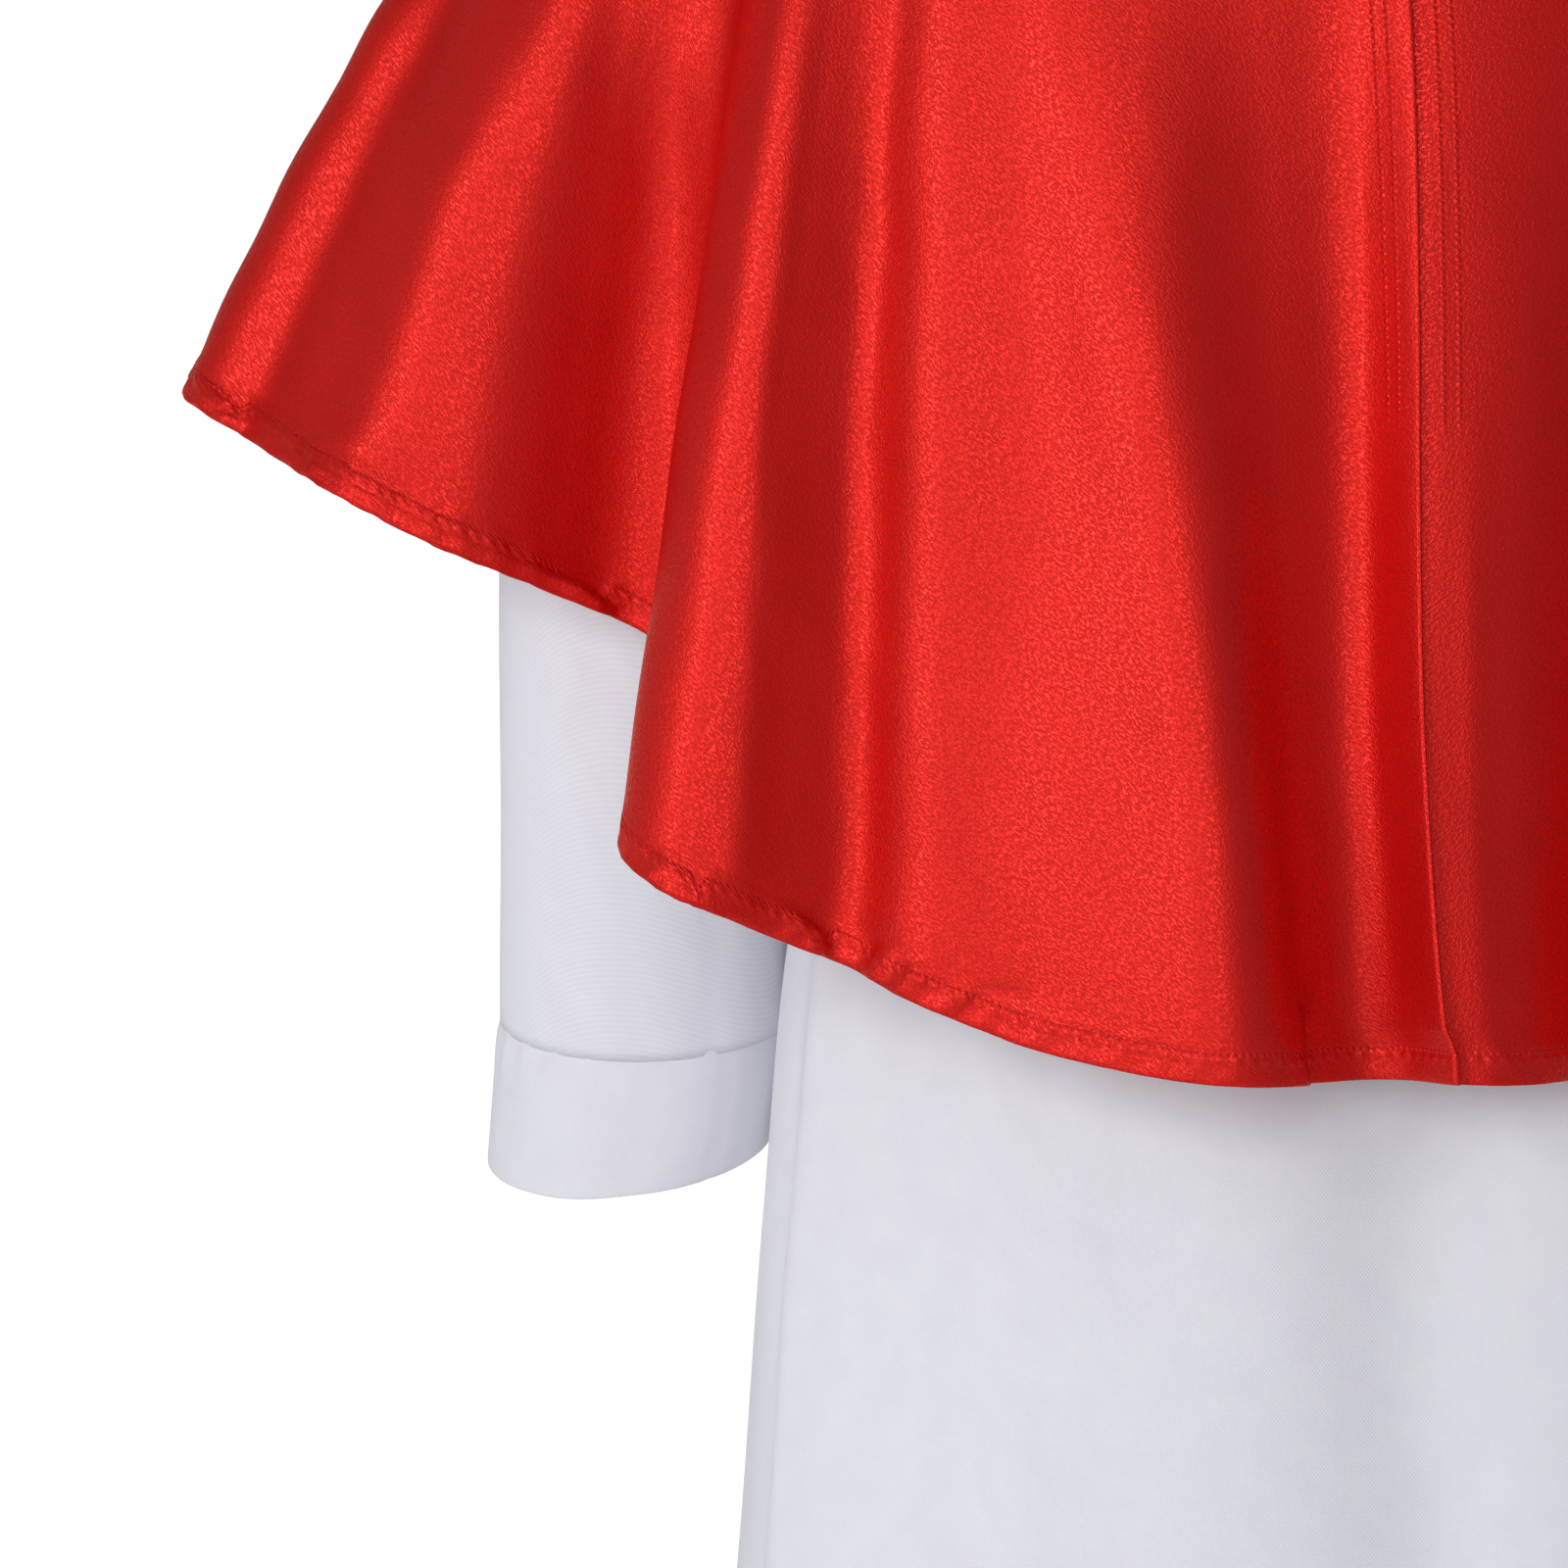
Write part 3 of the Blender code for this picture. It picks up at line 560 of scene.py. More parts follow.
def spline(values, at):
    """A smooth curve through rows of values, read at places between them."""
    values = np.asarray(values, float)
    at = np.asarray(at, float)
    last = len(values) - 1
    before_first = 2 * values[:1] - values[1:2]
    after_last = 2 * values[-1:] - values[-2:-1]
    held = np.concatenate([before_first, values, after_last])
    i = np.clip(at.astype(int), 0, last - 1)
    t = (at - i).reshape(at.shape + (1,) * (values.ndim - 1))
    before, start, end, after = (held[i + step] for step in range(4))
    return 0.5 * (
        2 * start
        + (end - before) * t
        + (2 * before - 5 * start + 4 * end - after) * t ** 2
        + (3 * start - before - 3 * end + after) * t ** 3
    )


def smooth(value):
    """0 below 0 and 1 above 1, with a soft step between."""
    value = np.clip(value, 0.0, 1.0)
    return value * value * (3 - 2 * value)


def bell(distance, width):
    return np.exp(-((distance / width) ** 2))


def rounded(angle, power):
    """Sine and cosine of a corner that is squarer than a circle's."""
    s, c = np.sin(angle), np.cos(angle)
    return (
        np.copysign(np.abs(s) ** (2 / power), s),
        np.copysign(np.abs(c) ** (2 / power), c),
    )


def lengths(points, axis):
    """How far along the cloth each point lies from the first row or column."""
    steps = np.linalg.norm(np.diff(points, axis=axis), axis=-1)
    total = np.cumsum(steps, axis=axis)
    start = np.zeros_like(np.take(total, [0], axis=axis))
    return np.concatenate([start, total], axis=axis)


def unit(vectors):
    return vectors / np.maximum(np.linalg.norm(vectors, axis=-1, keepdims=True), 1e-9)


class Sheet:
    """A grid of points in the middle of a cloth. outward is 1 or -1."""

    def __init__(self, points, outward, closed=False, turned=0):
        self.points = points
        self.outward = outward
        self.closed = closed
        self.turned = turned

    def normals(self):
        points = self.points
        if self.closed:
            points = np.concatenate([points[:, -2:-1], points, points[:, 1:2]], axis=1)
        across = np.gradient(points, axis=1)
        if self.closed:
            across = across[:, 1:-1]
        down = np.gradient(self.points, axis=0)
        return unit(np.cross(across, down)) * self.outward

    def raised(self, height):
        """The sheet moved out by height at each point."""
        height = np.broadcast_to(height, self.points.shape[:2])
        moved = self.points + self.normals() * height[..., None]
        return Sheet(moved, self.outward, self.closed)

    def across(self):
        return lengths(self.points, 1)

    def down(self):
        return lengths(self.points, 0)

    def point(self, column_share, row_share):
        """The grid point nearest to shares of the columns and the rows."""
        rows, columns = self.points.shape[:2]
        row = np.rint(np.asarray(row_share) * (rows - 1)).astype(int)
        column = np.rint(np.asarray(column_share) * (columns - 1)).astype(int)
        return self.points[np.clip(row, 0, rows - 1), np.clip(column, 0, columns - 1)]


def creases(sheet, table):
    """Soft troughs and ridges. Each row runs from one place to another on the panel."""
    height = np.zeros(sheet.points.shape[:2])
    for across_0, down_0, across_1, down_1, bow, width, rise in table:
        t = np.linspace(0.0, 1.0, CREASE_MARKS)
        bend = bow * np.sin(math.pi * t)
        middle = sheet.point(
            across_0 + (across_1 - across_0) * t + bend,
            down_0 + (down_1 - down_0) * t,
        )
        t = np.linspace(0.0, 1.0, CREASE_STEPS)
        middle = spline(middle, t * (CREASE_MARKS - 1))
        low, high = middle.min(axis=0) - 3 * width, middle.max(axis=0) + 3 * width
        near = np.all((sheet.points > low) & (sheet.points < high), axis=-1)
        if not near.any():
            continue
        away = np.linalg.norm(sheet.points[near][:, None, :] - middle[None], axis=-1)
        nearest = away.argmin(axis=1)
        share = t[nearest]
        ending = CREASE_END if down_1 < 1 else CREASE_RUN_OFF
        taper = smooth(share / CREASE_START) * smooth((1 - share) / ending)
        height[near] += rise * bell(away.min(axis=1), width) * taper
    return height


def waver(across, down, size, seed):
    """Small unevenness of hanging cloth, from -1 to 1, with bumps of about size."""
    draw = np.random.default_rng(seed)
    total = np.zeros_like(across)
    for _ in range(WAVER_WAVES):
        way = draw.uniform(0, 2 * math.pi)
        pace = 2 * math.pi / (size * draw.uniform(*WAVER_RANGE))
        start = draw.uniform(0, 2 * math.pi)
        total += np.sin((across * math.cos(way) + down * math.sin(way) * WAVER_DOWN) * pace + start)
    return total / WAVER_SUM


def turned_under(sheet, rows_up, radius):
    """Adds the turned hem: the last rows fold round the edge and run up inside."""
    points, normals = sheet.points, sheet.normals()
    edge, out = points[-1], normals[-1]
    way = unit(points[-1] - points[-2])
    fold = []
    for step in range(1, FOLD_ROWS + 1):
        angle = math.pi * step / (FOLD_ROWS + 1)
        fold.append(edge + way * radius * math.sin(angle) - out * radius * (1 - math.cos(angle)))
    inside = (points - normals * 2 * radius)[::-1][:rows_up]
    whole = np.concatenate([points, np.stack(fold), inside])
    return Sheet(whole, sheet.outward, sheet.closed, turned=rows_up + FOLD_ROWS)


def cloth_object(name, sheet, thickness, material):
    """The sheet as a mesh with a cloth UV map in metres, and its wall."""
    rows, columns = sheet.points.shape[0] - 1, sheet.points.shape[1] - 1
    shape = bmesh.new()
    bmesh.ops.create_grid(shape, x_segments=columns, y_segments=rows, size=0.5)
    if sheet.outward < 0:
        bmesh.ops.reverse_faces(shape, faces=shape.faces)
    mesh = bpy.data.meshes.new(name)
    shape.to_mesh(mesh)
    shape.free()
    place = np.empty(len(mesh.vertices) * 3, np.float32)
    mesh.vertices.foreach_get("co", place)
    place = place.reshape(-1, 3)
    column = np.rint((place[:, 0] + 0.5) * columns).astype(int)
    row = np.rint((place[:, 1] + 0.5) * rows).astype(int)
    mesh.vertices.foreach_set("co", sheet.points[row, column].astype(np.float32).ravel())
    corners = np.empty(len(mesh.loops), np.int32)
    mesh.loops.foreach_get("vertex_index", corners)
    across, down = sheet.across(), sheet.down()
    sewn = sheet.turned and not sheet.closed
    up = down[-1 - sheet.turned] - down + (0.0 if sewn else NO_HEM)
    maps = {CLOTH_MAP: (across, -down), HEM_MAP: (across, up), SIDE_MAP: (down, across)}
    for label, parts in maps.items():
        flat = np.stack(parts, axis=-1)
        layer = mesh.uv_layers.new(name=label)
        layer.data.foreach_set("uv", flat[row[corners], column[corners]].astype(np.float32).ravel())
    if sheet.closed:
        weld(mesh)
    mesh.shade_smooth()
    mesh.materials.append(material)
    piece = placed(name, mesh)
    wall = piece.modifiers.new("wall", "SOLIDIFY")
    wall.thickness = thickness
    wall.offset = 0.0
    return piece


def placed(name, data):
    """A new object of this data, in the scene."""
    item = bpy.data.objects.new(name, data)
    bpy.context.scene.collection.objects.link(item)
    return item


def weld(mesh):
    shape = bmesh.new()
    shape.from_mesh(mesh)
    bmesh.ops.remove_doubles(shape, verts=shape.verts, dist=WELD)
    shape.to_mesh(mesh)
    shape.free()


def dress(piece, nodes, slot, flat, area, rests_on=()):
    """Puts a cloth piece in its nodes' place: hangs it under the root and hides those nodes' solids."""
    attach(piece, "root")
    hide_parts(*nodes)


# Stitches

def read_along(at, reach, vectors):
    """Vectors read at places along their reach."""
    return np.stack([np.interp(at, reach, vectors[:, i]) for i in range(3)], axis=-1)


def line_down(sheet, from_edge, first, last):
    """Points and normals down the sheet, at a distance from its first column."""
    reach, normals = sheet.across(), sheet.normals()
    rows = range(first, last)
    points = [read_along(from_edge, reach[row], sheet.points[row]) for row in rows]
    outs = [read_along(from_edge, reach[row], normals[row]) for row in rows]
    return np.array(points), unit(np.array(outs))


def line_across(sheet, row):
    return sheet.points[row], sheet.normals()[row]


def stitch_row(line, rise, pitch, length, thread):
    """Each stitch of a row as its middle and its three half-axes."""
    points, normals = line
    reach = lengths(points, 0)
    middle = np.arange(pitch / 2, reach[-1], pitch)
    place = read_along(middle, reach, points)
    out = unit(read_along(middle, reach, normals))
    way = unit(read_along(middle + pitch / 4, reach, points) - read_along(middle - pitch / 4, reach, points))
    side = np.cross(out, way)
    return np.stack([place + out * rise, way * length / 2, side * thread / 2, out * thread / 2], axis=1)


def stitches_object(name, rows, material):
    """All the stitches of some rows, joined, each a thread bead copied from one."""
    shape = bmesh.new()
    bmesh.ops.create_uvsphere(shape, u_segments=BEAD_SIDES, v_segments=BEAD_RINGS, radius=1.0)
    bead = np.array([vert.co[:] for vert in shape.verts])
    faces = [[vert.index for vert in face.verts] for face in shape.faces]
    shape.free()
    frames = np.concatenate(rows)
    middle, axes = frames[:, 0], frames[:, 1:]
    points = middle[:, None, :] + np.einsum("vi,sij->svj", bead[:, [2, 0, 1]], axes)
    count = len(bead)
    joined = [[corner + step * count for corner in face] for step in range(len(frames)) for face in faces]
    mesh = bpy.data.meshes.new(name)
    mesh.from_pydata(points.reshape(-1, 3).tolist(), [], joined)
    mesh.shade_smooth()
    mesh.materials.append(material)
    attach(placed(name, mesh), "root")


# Robe panels

def neck_points(angle, out=0.0):
    """The neckline, by its angle from the centre back round by the left."""
    s, c = np.sin(angle), np.cos(angle)
    depth = np.where(c > 0, NECK_BACK, NECK_FRONT)
    middle_z = np.where(c > 0, NECK_Z_BACK, NECK_Z_FRONT)
    return np.stack([
        (NECK_WIDTH + out) * s,
        (depth + out) * c,
        NECK_Z_SIDE + (middle_z - NECK_Z_SIDE) * c * c,
    ], axis=-1)


def armhole_points(turn, side):
    """The left armhole edge from the shoulder (0) to the underarm (1); side is 1 at the back."""
    angle = math.pi * np.asarray(turn, float)
    middle_x = (SHOULDER_X + SKIRT[0][1]) / 2
    middle_z = (SHOULDER_Z + UNDERARM_Z) / 2
    return np.stack([
        middle_x + (SHOULDER_X - middle_x) * np.cos(angle) - ARMHOLE_SCOOP * np.sin(angle) ** 2,
        side * ARMHOLE_DEPTH * np.sin(angle),
        middle_z + (SHOULDER_Z - middle_z) * np.cos(angle),
    ], axis=-1)


def shoulder_line(share, back):
    """The top edge of a panel's left half: the neckline, then the shoulder seam."""
    out = TWILL + SEAM
    turn = np.minimum(share / NECK_SHARE, 1.0)
    angle = turn * math.pi / 2 if back else math.pi * (1 - turn / 2)
    neck = neck_points(angle, out)
    along = np.clip((share - NECK_SHARE) / (1 - NECK_SHARE), 0.0, 1.0)[:, None]
    start = neck_points(np.array([math.pi / 2]), out)[0]
    start[1] = 0.0
    seam = start + (np.array([SHOULDER_X, 0.0, SHOULDER_Z]) - start) * along
    points = np.where((share < NECK_SHARE)[:, None], neck, seam)
    flat = np.abs(points[:, 1]) < SEAM
    points[flat, 1] = SEAM / 2 if back else -SEAM / 2
    return points


def yoke_line(number, share, back):
    back_y, front_y, back_z, front_z, sag, turn = YOKE[number - 1]
    centre_y, centre_z = (back_y, back_z) if back else (front_y, front_z)
    edge = armhole_points(number / ARMHOLE_ROWS, 1.0 if back else -1.0)
    s, c = rounded(share * math.radians(turn), BODY_POWER)
    last_s, last_c = rounded(math.radians(turn), BODY_POWER)
    c = (c - last_c) / (1 - last_c)
    angle = share * math.pi / 2
    return np.stack([
        edge[0] * s / last_s,
        edge[1] + (centre_y - edge[1]) * c,
        centre_z + (edge[2] - centre_z) * np.sin(angle) ** 2 - sag * np.sin(2 * angle) ** 2,
    ], axis=-1)


def skirt_fold(angle):
    """How far the upright folds stand out, from -1 to 1."""
    degrees = np.degrees(angle)
    total = -SKIRT_FOLD_MIDDLE
    for middle, width, share in SKIRT_FOLDS:
        off = (degrees - middle + 180.0) % 360.0 - 180.0
        total = total + share * bell(off, width)
    return total


def skirt_points(angle, depth):
    """The robe below the underarm: a row for each depth in the table, a column for each angle."""
    z, half_width, back, front, fold = spline(SKIRT, depth).T[:, :, None]
    s, c = rounded(angle[None], BODY_POWER)
    out = fold * skirt_fold(angle)[None]
    reach = np.where(c > 0, back, front)
    return np.stack([(half_width + out) * s, (reach + out) * c, z + 0 * s], axis=-1)


def panel_points(shares, rows, back):
    """A panel by signed shares from the centre line to a side seam, and by its rows."""
    share = np.abs(shares)
    angle = share * math.pi / 2 if back else math.pi * (1 - share / 2)
    angle = np.where(shares < 0, -angle, angle)
    table_row = (len(SKIRT) - 1) / SKIRT_ROWS
    lines = [shoulder_line(share, back)]
    lines += [yoke_line(number, share, back) for number in range(1, ARMHOLE_ROWS)]
    for line in lines:
        line[:, 0] = np.where(shares < 0, -line[:, 0], line[:, 0])
    lines += list(skirt_points(angle, np.array([0.0, table_row])))
    upper = spline(np.stack(lines), rows[rows < ARMHOLE_ROWS])
    lower = skirt_points(angle, (rows[rows >= ARMHOLE_ROWS] - ARMHOLE_ROWS) * table_row)
    points = np.concatenate([upper, lower])
    near = np.abs(points[..., 1]) < SEAM / 2
    points[..., 1] = np.where(near, SEAM / 2 if back else -SEAM / 2, points[..., 1])
    return points


def panel_rows():
    """Grid rows of a robe panel, closer at the shoulder seam and above the hem."""
    hem = np.arange(ROBE_HEM_STEPS, -1, -1) * ROBE_HEM / (ROBE_HEM_STEPS - 2) / HEM_ROW
    first = np.array(EDGE_STEPS[:-1]) / YOKE_ROW
    upper = np.linspace(EDGE_STEPS[-1] / YOKE_ROW, ARMHOLE_ROWS, YOKE_FINE, endpoint=False)
    last = ARMHOLE_ROWS + SKIRT_ROWS
    lower = np.linspace(ARMHOLE_ROWS, last - hem[0], SKIRT_FINE, endpoint=False)
    return np.concatenate([first, upper, lower, last - hem])


def panel_shares():
    """Columns from the centre line (0) to the side seam (1), closer at the seam."""
    near = 1 - np.array(EDGE_STEPS[::-1]) / PANEL_WIDTH
    return np.concatenate([np.linspace(0.0, near[0], PANEL_FINE, endpoint=False), near])


def uneven(sheet, seed):
    """Small unevenness of a sheet, fading out at its side edges."""
    reach = sheet.across()
    edges = smooth(np.minimum(reach, reach[:, -1:] - reach) / WAVER_EDGE)
    return waver(reach, sheet.down(), WAVER_SIZE, seed) * edges


def finish_panel(sheet, table, seed):
    """A robe panel's creases, unevenness and drawn side seams."""
    sheet = sheet.raised(TWILL - TWILL_CLOTH / 2)
    sheet = sheet.raised(creases(sheet, table) + uneven(sheet, seed) * WAVER_ROBE)
    reach = sheet.across()
    dip = bell(reach, SEAM_SOFT) + bell(reach[:, -1:] - reach, SEAM_SOFT)
    return sheet.raised(-SEAM_DIP * np.minimum(dip, 1.0))


@functools.cache
def robe_back_sheet():
    half = panel_shares()
    shares = np.concatenate([-half[:0:-1], half])
    sheet = Sheet(panel_points(shares, panel_rows(), True), 1)
    return finish_panel(sheet, BACK_CREASES, SEEDS["robe_back"])


@functools.cache
def robe_front_sheet(left):
    shares = panel_shares()
    points = panel_points(shares if left else -shares, panel_rows(), False)
    points[:, 0, 0] = SEAM / 2 if left else -SEAM / 2
    sheet = Sheet(points, -1 if left else 1)
    table = FRONT_LEFT_CREASES if left else FRONT_RIGHT_CREASES
    return finish_panel(sheet, table, SEEDS["robe_front_left" if left else "robe_front_right"])


def mirrored(points):
    return points * np.array([-1.0, 1.0, 1.0])


def ring_points(rings, angle):
    """Sleeve or cuff rings, by the angle from the outside round the back."""
    outer_x, outer_z, inner_x, inner_z, y, half_depth, drop = rings.T[:, :, None]
    c, s = np.cos(angle)[None], np.sin(angle)[None]
    return np.stack([
        (outer_x + inner_x) / 2 + (outer_x - inner_x) / 2 * c,
        y + half_depth * s,
        (outer_z + inner_z) / 2 + (outer_z - inner_z) / 2 * c - drop * s,
    ], axis=-1)


def sleeve_start(angle):
    """The sleeve's edge just beyond the armhole edge."""
    turn = angle / math.pi
    side = np.where(turn <= 1, 1.0, -1.0)
    edge = armhole_points(np.where(turn <= 1, turn, 2 - turn), side)
    edge[:, 0] += SEAM + ARMHOLE_EASE * np.sqrt(np.abs(np.sin(angle)))
    edge[:, 2] += (TWILL + 3 * SEAM) * np.sqrt(np.maximum(0.0, -np.cos(angle)))
    return edge


@functools.cache
def sleeve_sheet(left):
    angle = np.linspace(0.0, 2 * math.pi, SLEEVE_FINE + 1)
    rings = ring_points(np.array(SLEEVE), angle)
    lines = np.concatenate([sleeve_start(angle % (2 * math.pi))[None], rings])
    rows = np.linspace(0.0, len(SLEEVE), SLEEVE_ROWS_FINE)
    points = spline(lines, rows)
    points[:, -1] = points[:, 0]
    sheet = Sheet(points if left else mirrored(points), -1 if left else 1, closed=True)
    sheet = sheet.raised(TWILL - TWILL_CLOTH / 2)
    table = SLEEVE_LEFT_CREASES if left else SLEEVE_RIGHT_CREASES
    down = sheet.down()
    height = creases(sheet, table) + SLEEVE_FLARE * smooth(1 - (down[-1] - down) / SLEEVE_FLARE_LENGTH)
    height[:, -1] = height[:, 0]
    sheet = sheet.raised(height)
    return sheet.raised(-SEAM_DIP * bell(sheet.down(), SEAM_SOFT))


@functools.cache
def cuff_sheet(left):
    angle = np.linspace(0.0, 2 * math.pi, SLEEVE_FINE + 1)
    rings = spline(CUFF, np.linspace(0.0, len(CUFF) - 1, CUFF_ROWS_FINE))
    points = ring_points(rings, angle)
    points[:, -1] = points[:, 0]
    sheet = Sheet(points if left else mirrored(points), -1 if left else 1, closed=True)
    sheet = sheet.raised(TWILL - TWILL_CLOTH / 2)
    reach = sheet.across()
    share = reach / reach[:, -1:]
    waves = CUFF_PUCKER * np.sin(2 * math.pi * CUFF_WAVES * share + CUFF_STRAY * np.sin(angle))
    fade = bell(sheet.down(), CUFF_FADE) * smooth(sheet.down() / CUFF_START)
    pace, start = CUFF_SIDE
    height = waves * fade * np.maximum(0.0, np.sin(angle * pace + start)) + creases(sheet, CUFF_CREASES)
    height -= CUFF_TUCK * smooth(1 - sheet.down() / CUFF_FADE)
    height[:, -1] = height[:, 0]
    return sheet.raised(height)


def band_sheet(angles, out, top, foot, lean, thickness, cloth):
    """A neckband between its two heights over the neckline."""
    line = neck_points(angles, out)
    inward = unit(line * np.array([1.0, 1.0, 0.0])) * lean
    share = np.linspace(0.0, 1.0, BAND_ROWS)[:, None, None]
    lift = np.array([0.0, 0.0, 1.0])
    points = line + (inward * -1 + lift * top) * (1 - share) + lift * foot * share
    return Sheet(points, 1).raised(thickness - cloth / 2)


# Cape

def cape_rings(angle):
    """The neck, shoulder and leaving rings at each fold's direction."""
    rings = []
    for half_width, back, front, z_side, z_back, z_front, power in CAPE_RINGS:
        s, c = rounded(angle, power)
        depth, middle_z = np.where(c > 0, back, front), np.where(c > 0, z_back, z_front)
        height = z_side + (middle_z - z_side) * np.cos(angle) ** 2
        rings.append(np.stack([half_width * s, depth * c, height], axis=-1))
    return rings


def hermite(start, start_way, end, end_way, t):
    return (
        start * (2 * t ** 3 - 3 * t ** 2 + 1)
        + start_way * (t ** 3 - 2 * t ** 2 + t)
        + end * (3 * t ** 2 - 2 * t ** 3)
        + end_way * (t ** 3 - t ** 2)
    )


def cape_points(folds, across, along):
    """The cape's inner face: a column for each place across the folds, along from 0 to 3."""
    folds = np.array(folds)
    neck, shoulder, leave = cape_rings(np.radians(folds[:, 0]))
    hem = folds[:, 1:4]
    plan = unit((hem - leave) * np.array([1.0, 1.0, 0.0]))
    down = np.array([0.0, 0.0, -1.0])
    top_way = unit(plan * folds[:, 4:5] + down)
    hem_way = unit(plan * folds[:, 5:6] + down)
    neck, shoulder, leave, hem, top_way, hem_way = (
        spline(part, across)[None] for part in (neck, shoulder, leave, hem, top_way, hem_way)
    )
    over = (leave - neck) / 2
    fall = np.linalg.norm(hem - leave, axis=-1, keepdims=True)
    reach = np.linalg.norm(leave - shoulder, axis=-1, keepdims=True)
    along = along[..., None]
    first = hermite(neck, shoulder - neck, shoulder, over, along)
    second = hermite(shoulder, over, leave, top_way * reach, along - 1)
    third = hermite(leave, top_way * fall, hem, hem_way * fall, along - 2)
    return np.where(along <= 1, first, np.where(along <= 2, second, third)), fall[0, :, 0]


def cape_along(fall):
    """Grid rows of the cape as places along it; the last rows keep their distance to the hem."""
    from_hem = np.arange(CAPE_HEM_STEPS, -1, -1) * CAPE_HEM_STEP
    top = np.linspace(0.0, 2.0, CAPE_TOP_FINE, endpoint=False)
    share = np.linspace(0.0, 1.0, CAPE_FALL_FINE, endpoint=False)
    rest = 3 - from_hem[:, None] / fall[None]
    middle = 2 + share[:, None] * (rest[0] - 2)[None]
    return np.concatenate([np.repeat(top[:, None], len(fall), axis=1), middle, rest])


def hem_puckers(sheet, seed, strong):
    """Slanting puckers between the hem's stitches and its edge, unevenly spaced."""
    draw = np.random.default_rng(seed)
    along, down = sheet.across(), sheet.down()
    up = down[-1:] - down
    height = np.zeros_like(along)
    rows = up.min(axis=1) < PUCKER_TOP
    place = 0.0
    while place < along[-1].max():
        place += draw.uniform(*PUCKER_SPACING)
        share = place / along[-1].max()
        lift = draw.uniform(*PUCKER_RISE) * spline(strong, np.array([share * (len(strong) - 1)]))[0]
        width, slant = draw.uniform(*PUCKER_WIDTH), draw.uniform(*PUCKER_SLANT)
        middle = place - slant * up[rows]
        fade = smooth((up[rows] + PUCKER_FOOT) / (2 * PUCKER_FOOT))
        fade = fade * smooth((PUCKER_TOP - up[rows]) / PUCKER_FADE)
        height[rows] += lift * bell(along[rows] - middle, width) * fade
    return height


def zip_puckers(sheet, from_edge):
    """Small ripples across the rows of stitches that hold the zip tape."""
    across, down = sheet.across(), sheet.down()
    total = np.zeros_like(across)
    for number, line in enumerate(from_edge):
        stray = ZIP_STRAY * np.sin(down * ZIP_STRAY_PACE + number)
        ripple = np.sin(2 * math.pi * down / ZIP_RIPPLE + stray + number)
        total += ripple * bell(across - line, ZIP_RIPPLE_WIDTH)
    fade = smooth((down[zip_row()] - down) / ZIP_FADE)
    return ZIP_RIPPLE_RISE * total * fade


@functools.cache
def cape_sheet(left):
    folds = LEFT_FOLDS if left else RIGHT_FOLDS
    steps = np.array(CAPE_EDGE_STEPS) / CAPE_FOLD_WIDTH
    last = len(folds) - 1
    middle = np.linspace(steps[-1], last - steps[-1], CAPE_FINE)
    across = np.concatenate([steps[:-1], middle, last - steps[:-1][::-1]])
    fall = cape_points(folds, across, np.zeros((1, len(across))))[1]
    points = cape_points(folds, across, cape_along(fall))[0]
    if not left:
        points = mirrored(points)
    gap = SEAM / 2 if left else -SEAM / 2
    points[:, 0, 0] += gap
    points[:, -1, 0] += gap
    sheet = Sheet(points, 1 if left else -1).raised(SATIN - SATIN_CLOTH / 2)
    table = CAPE_LEFT_CREASES if left else CAPE_RIGHT_CREASES
    side = "left" if left else "right"
    small = uneven(sheet, SEEDS[f"cape_{side}"]) * WAVER_CAPE * smooth(sheet.down() / WAVER_EDGE)
    sheet = sheet.raised(creases(sheet, table) + small)
    reach = sheet.across()
    rows = np.linspace(0.0, len(SEAM_SWAY) - 1, len(sheet.points))
    sheet.points[..., 0] += spline(SEAM_SWAY, rows)[:, None] * smooth(1 - reach / SEAM_SWAY_REACH)
    crest = smooth(1 - reach / (SEAM_CREST_LEFT if left else SEAM_CREST_RIGHT))
    sheet.points[..., 1] += spline(SEAM_CREST, rows)[:, None] * crest
    strong = HEM_STRENGTH_LEFT if left else HEM_STRENGTH_RIGHT
    height = hem_puckers(sheet, SEEDS[f"cape_{side}_hem"], strong)
    height *= smooth(reach / PUCKER_EDGE) * smooth((reach[:, -1:] - reach) / PUCKER_EDGE)
    height += zip_puckers(sheet, ZIP_STITCHES_LEFT if left else ZIP_STITCHES_RIGHT)
    down = sheet.down()
    height -= HEM_GROOVE * bell(down[-1:] - down - CAPE_HEM, HEM_GROOVE_WIDTH)
    if left:
        height += LAP_RISE * smooth(1 - reach / LAP_SOFT)
    else:
        height -= LAP_TUCK * smooth(1 - reach / LAP_SOFT)
    height -= SEAM_DIP * bell(reach[:, -1:] - reach, SEAM_SOFT)
    sheet = sheet.raised(height)
    if left:
        way = unit(sheet.points[:, :1] - sheet.points[:, 2:3])
        sheet.points += way * LAP_OVER * smooth(1 - reach / LAP_SOFT)[..., None]
    return sheet


def zip_row():
    """The cape's grid row where the zip ends."""
    return CAPE_TOP_FINE + round(ZIP_END_SHARE * CAPE_FALL_FINE)


# Materials

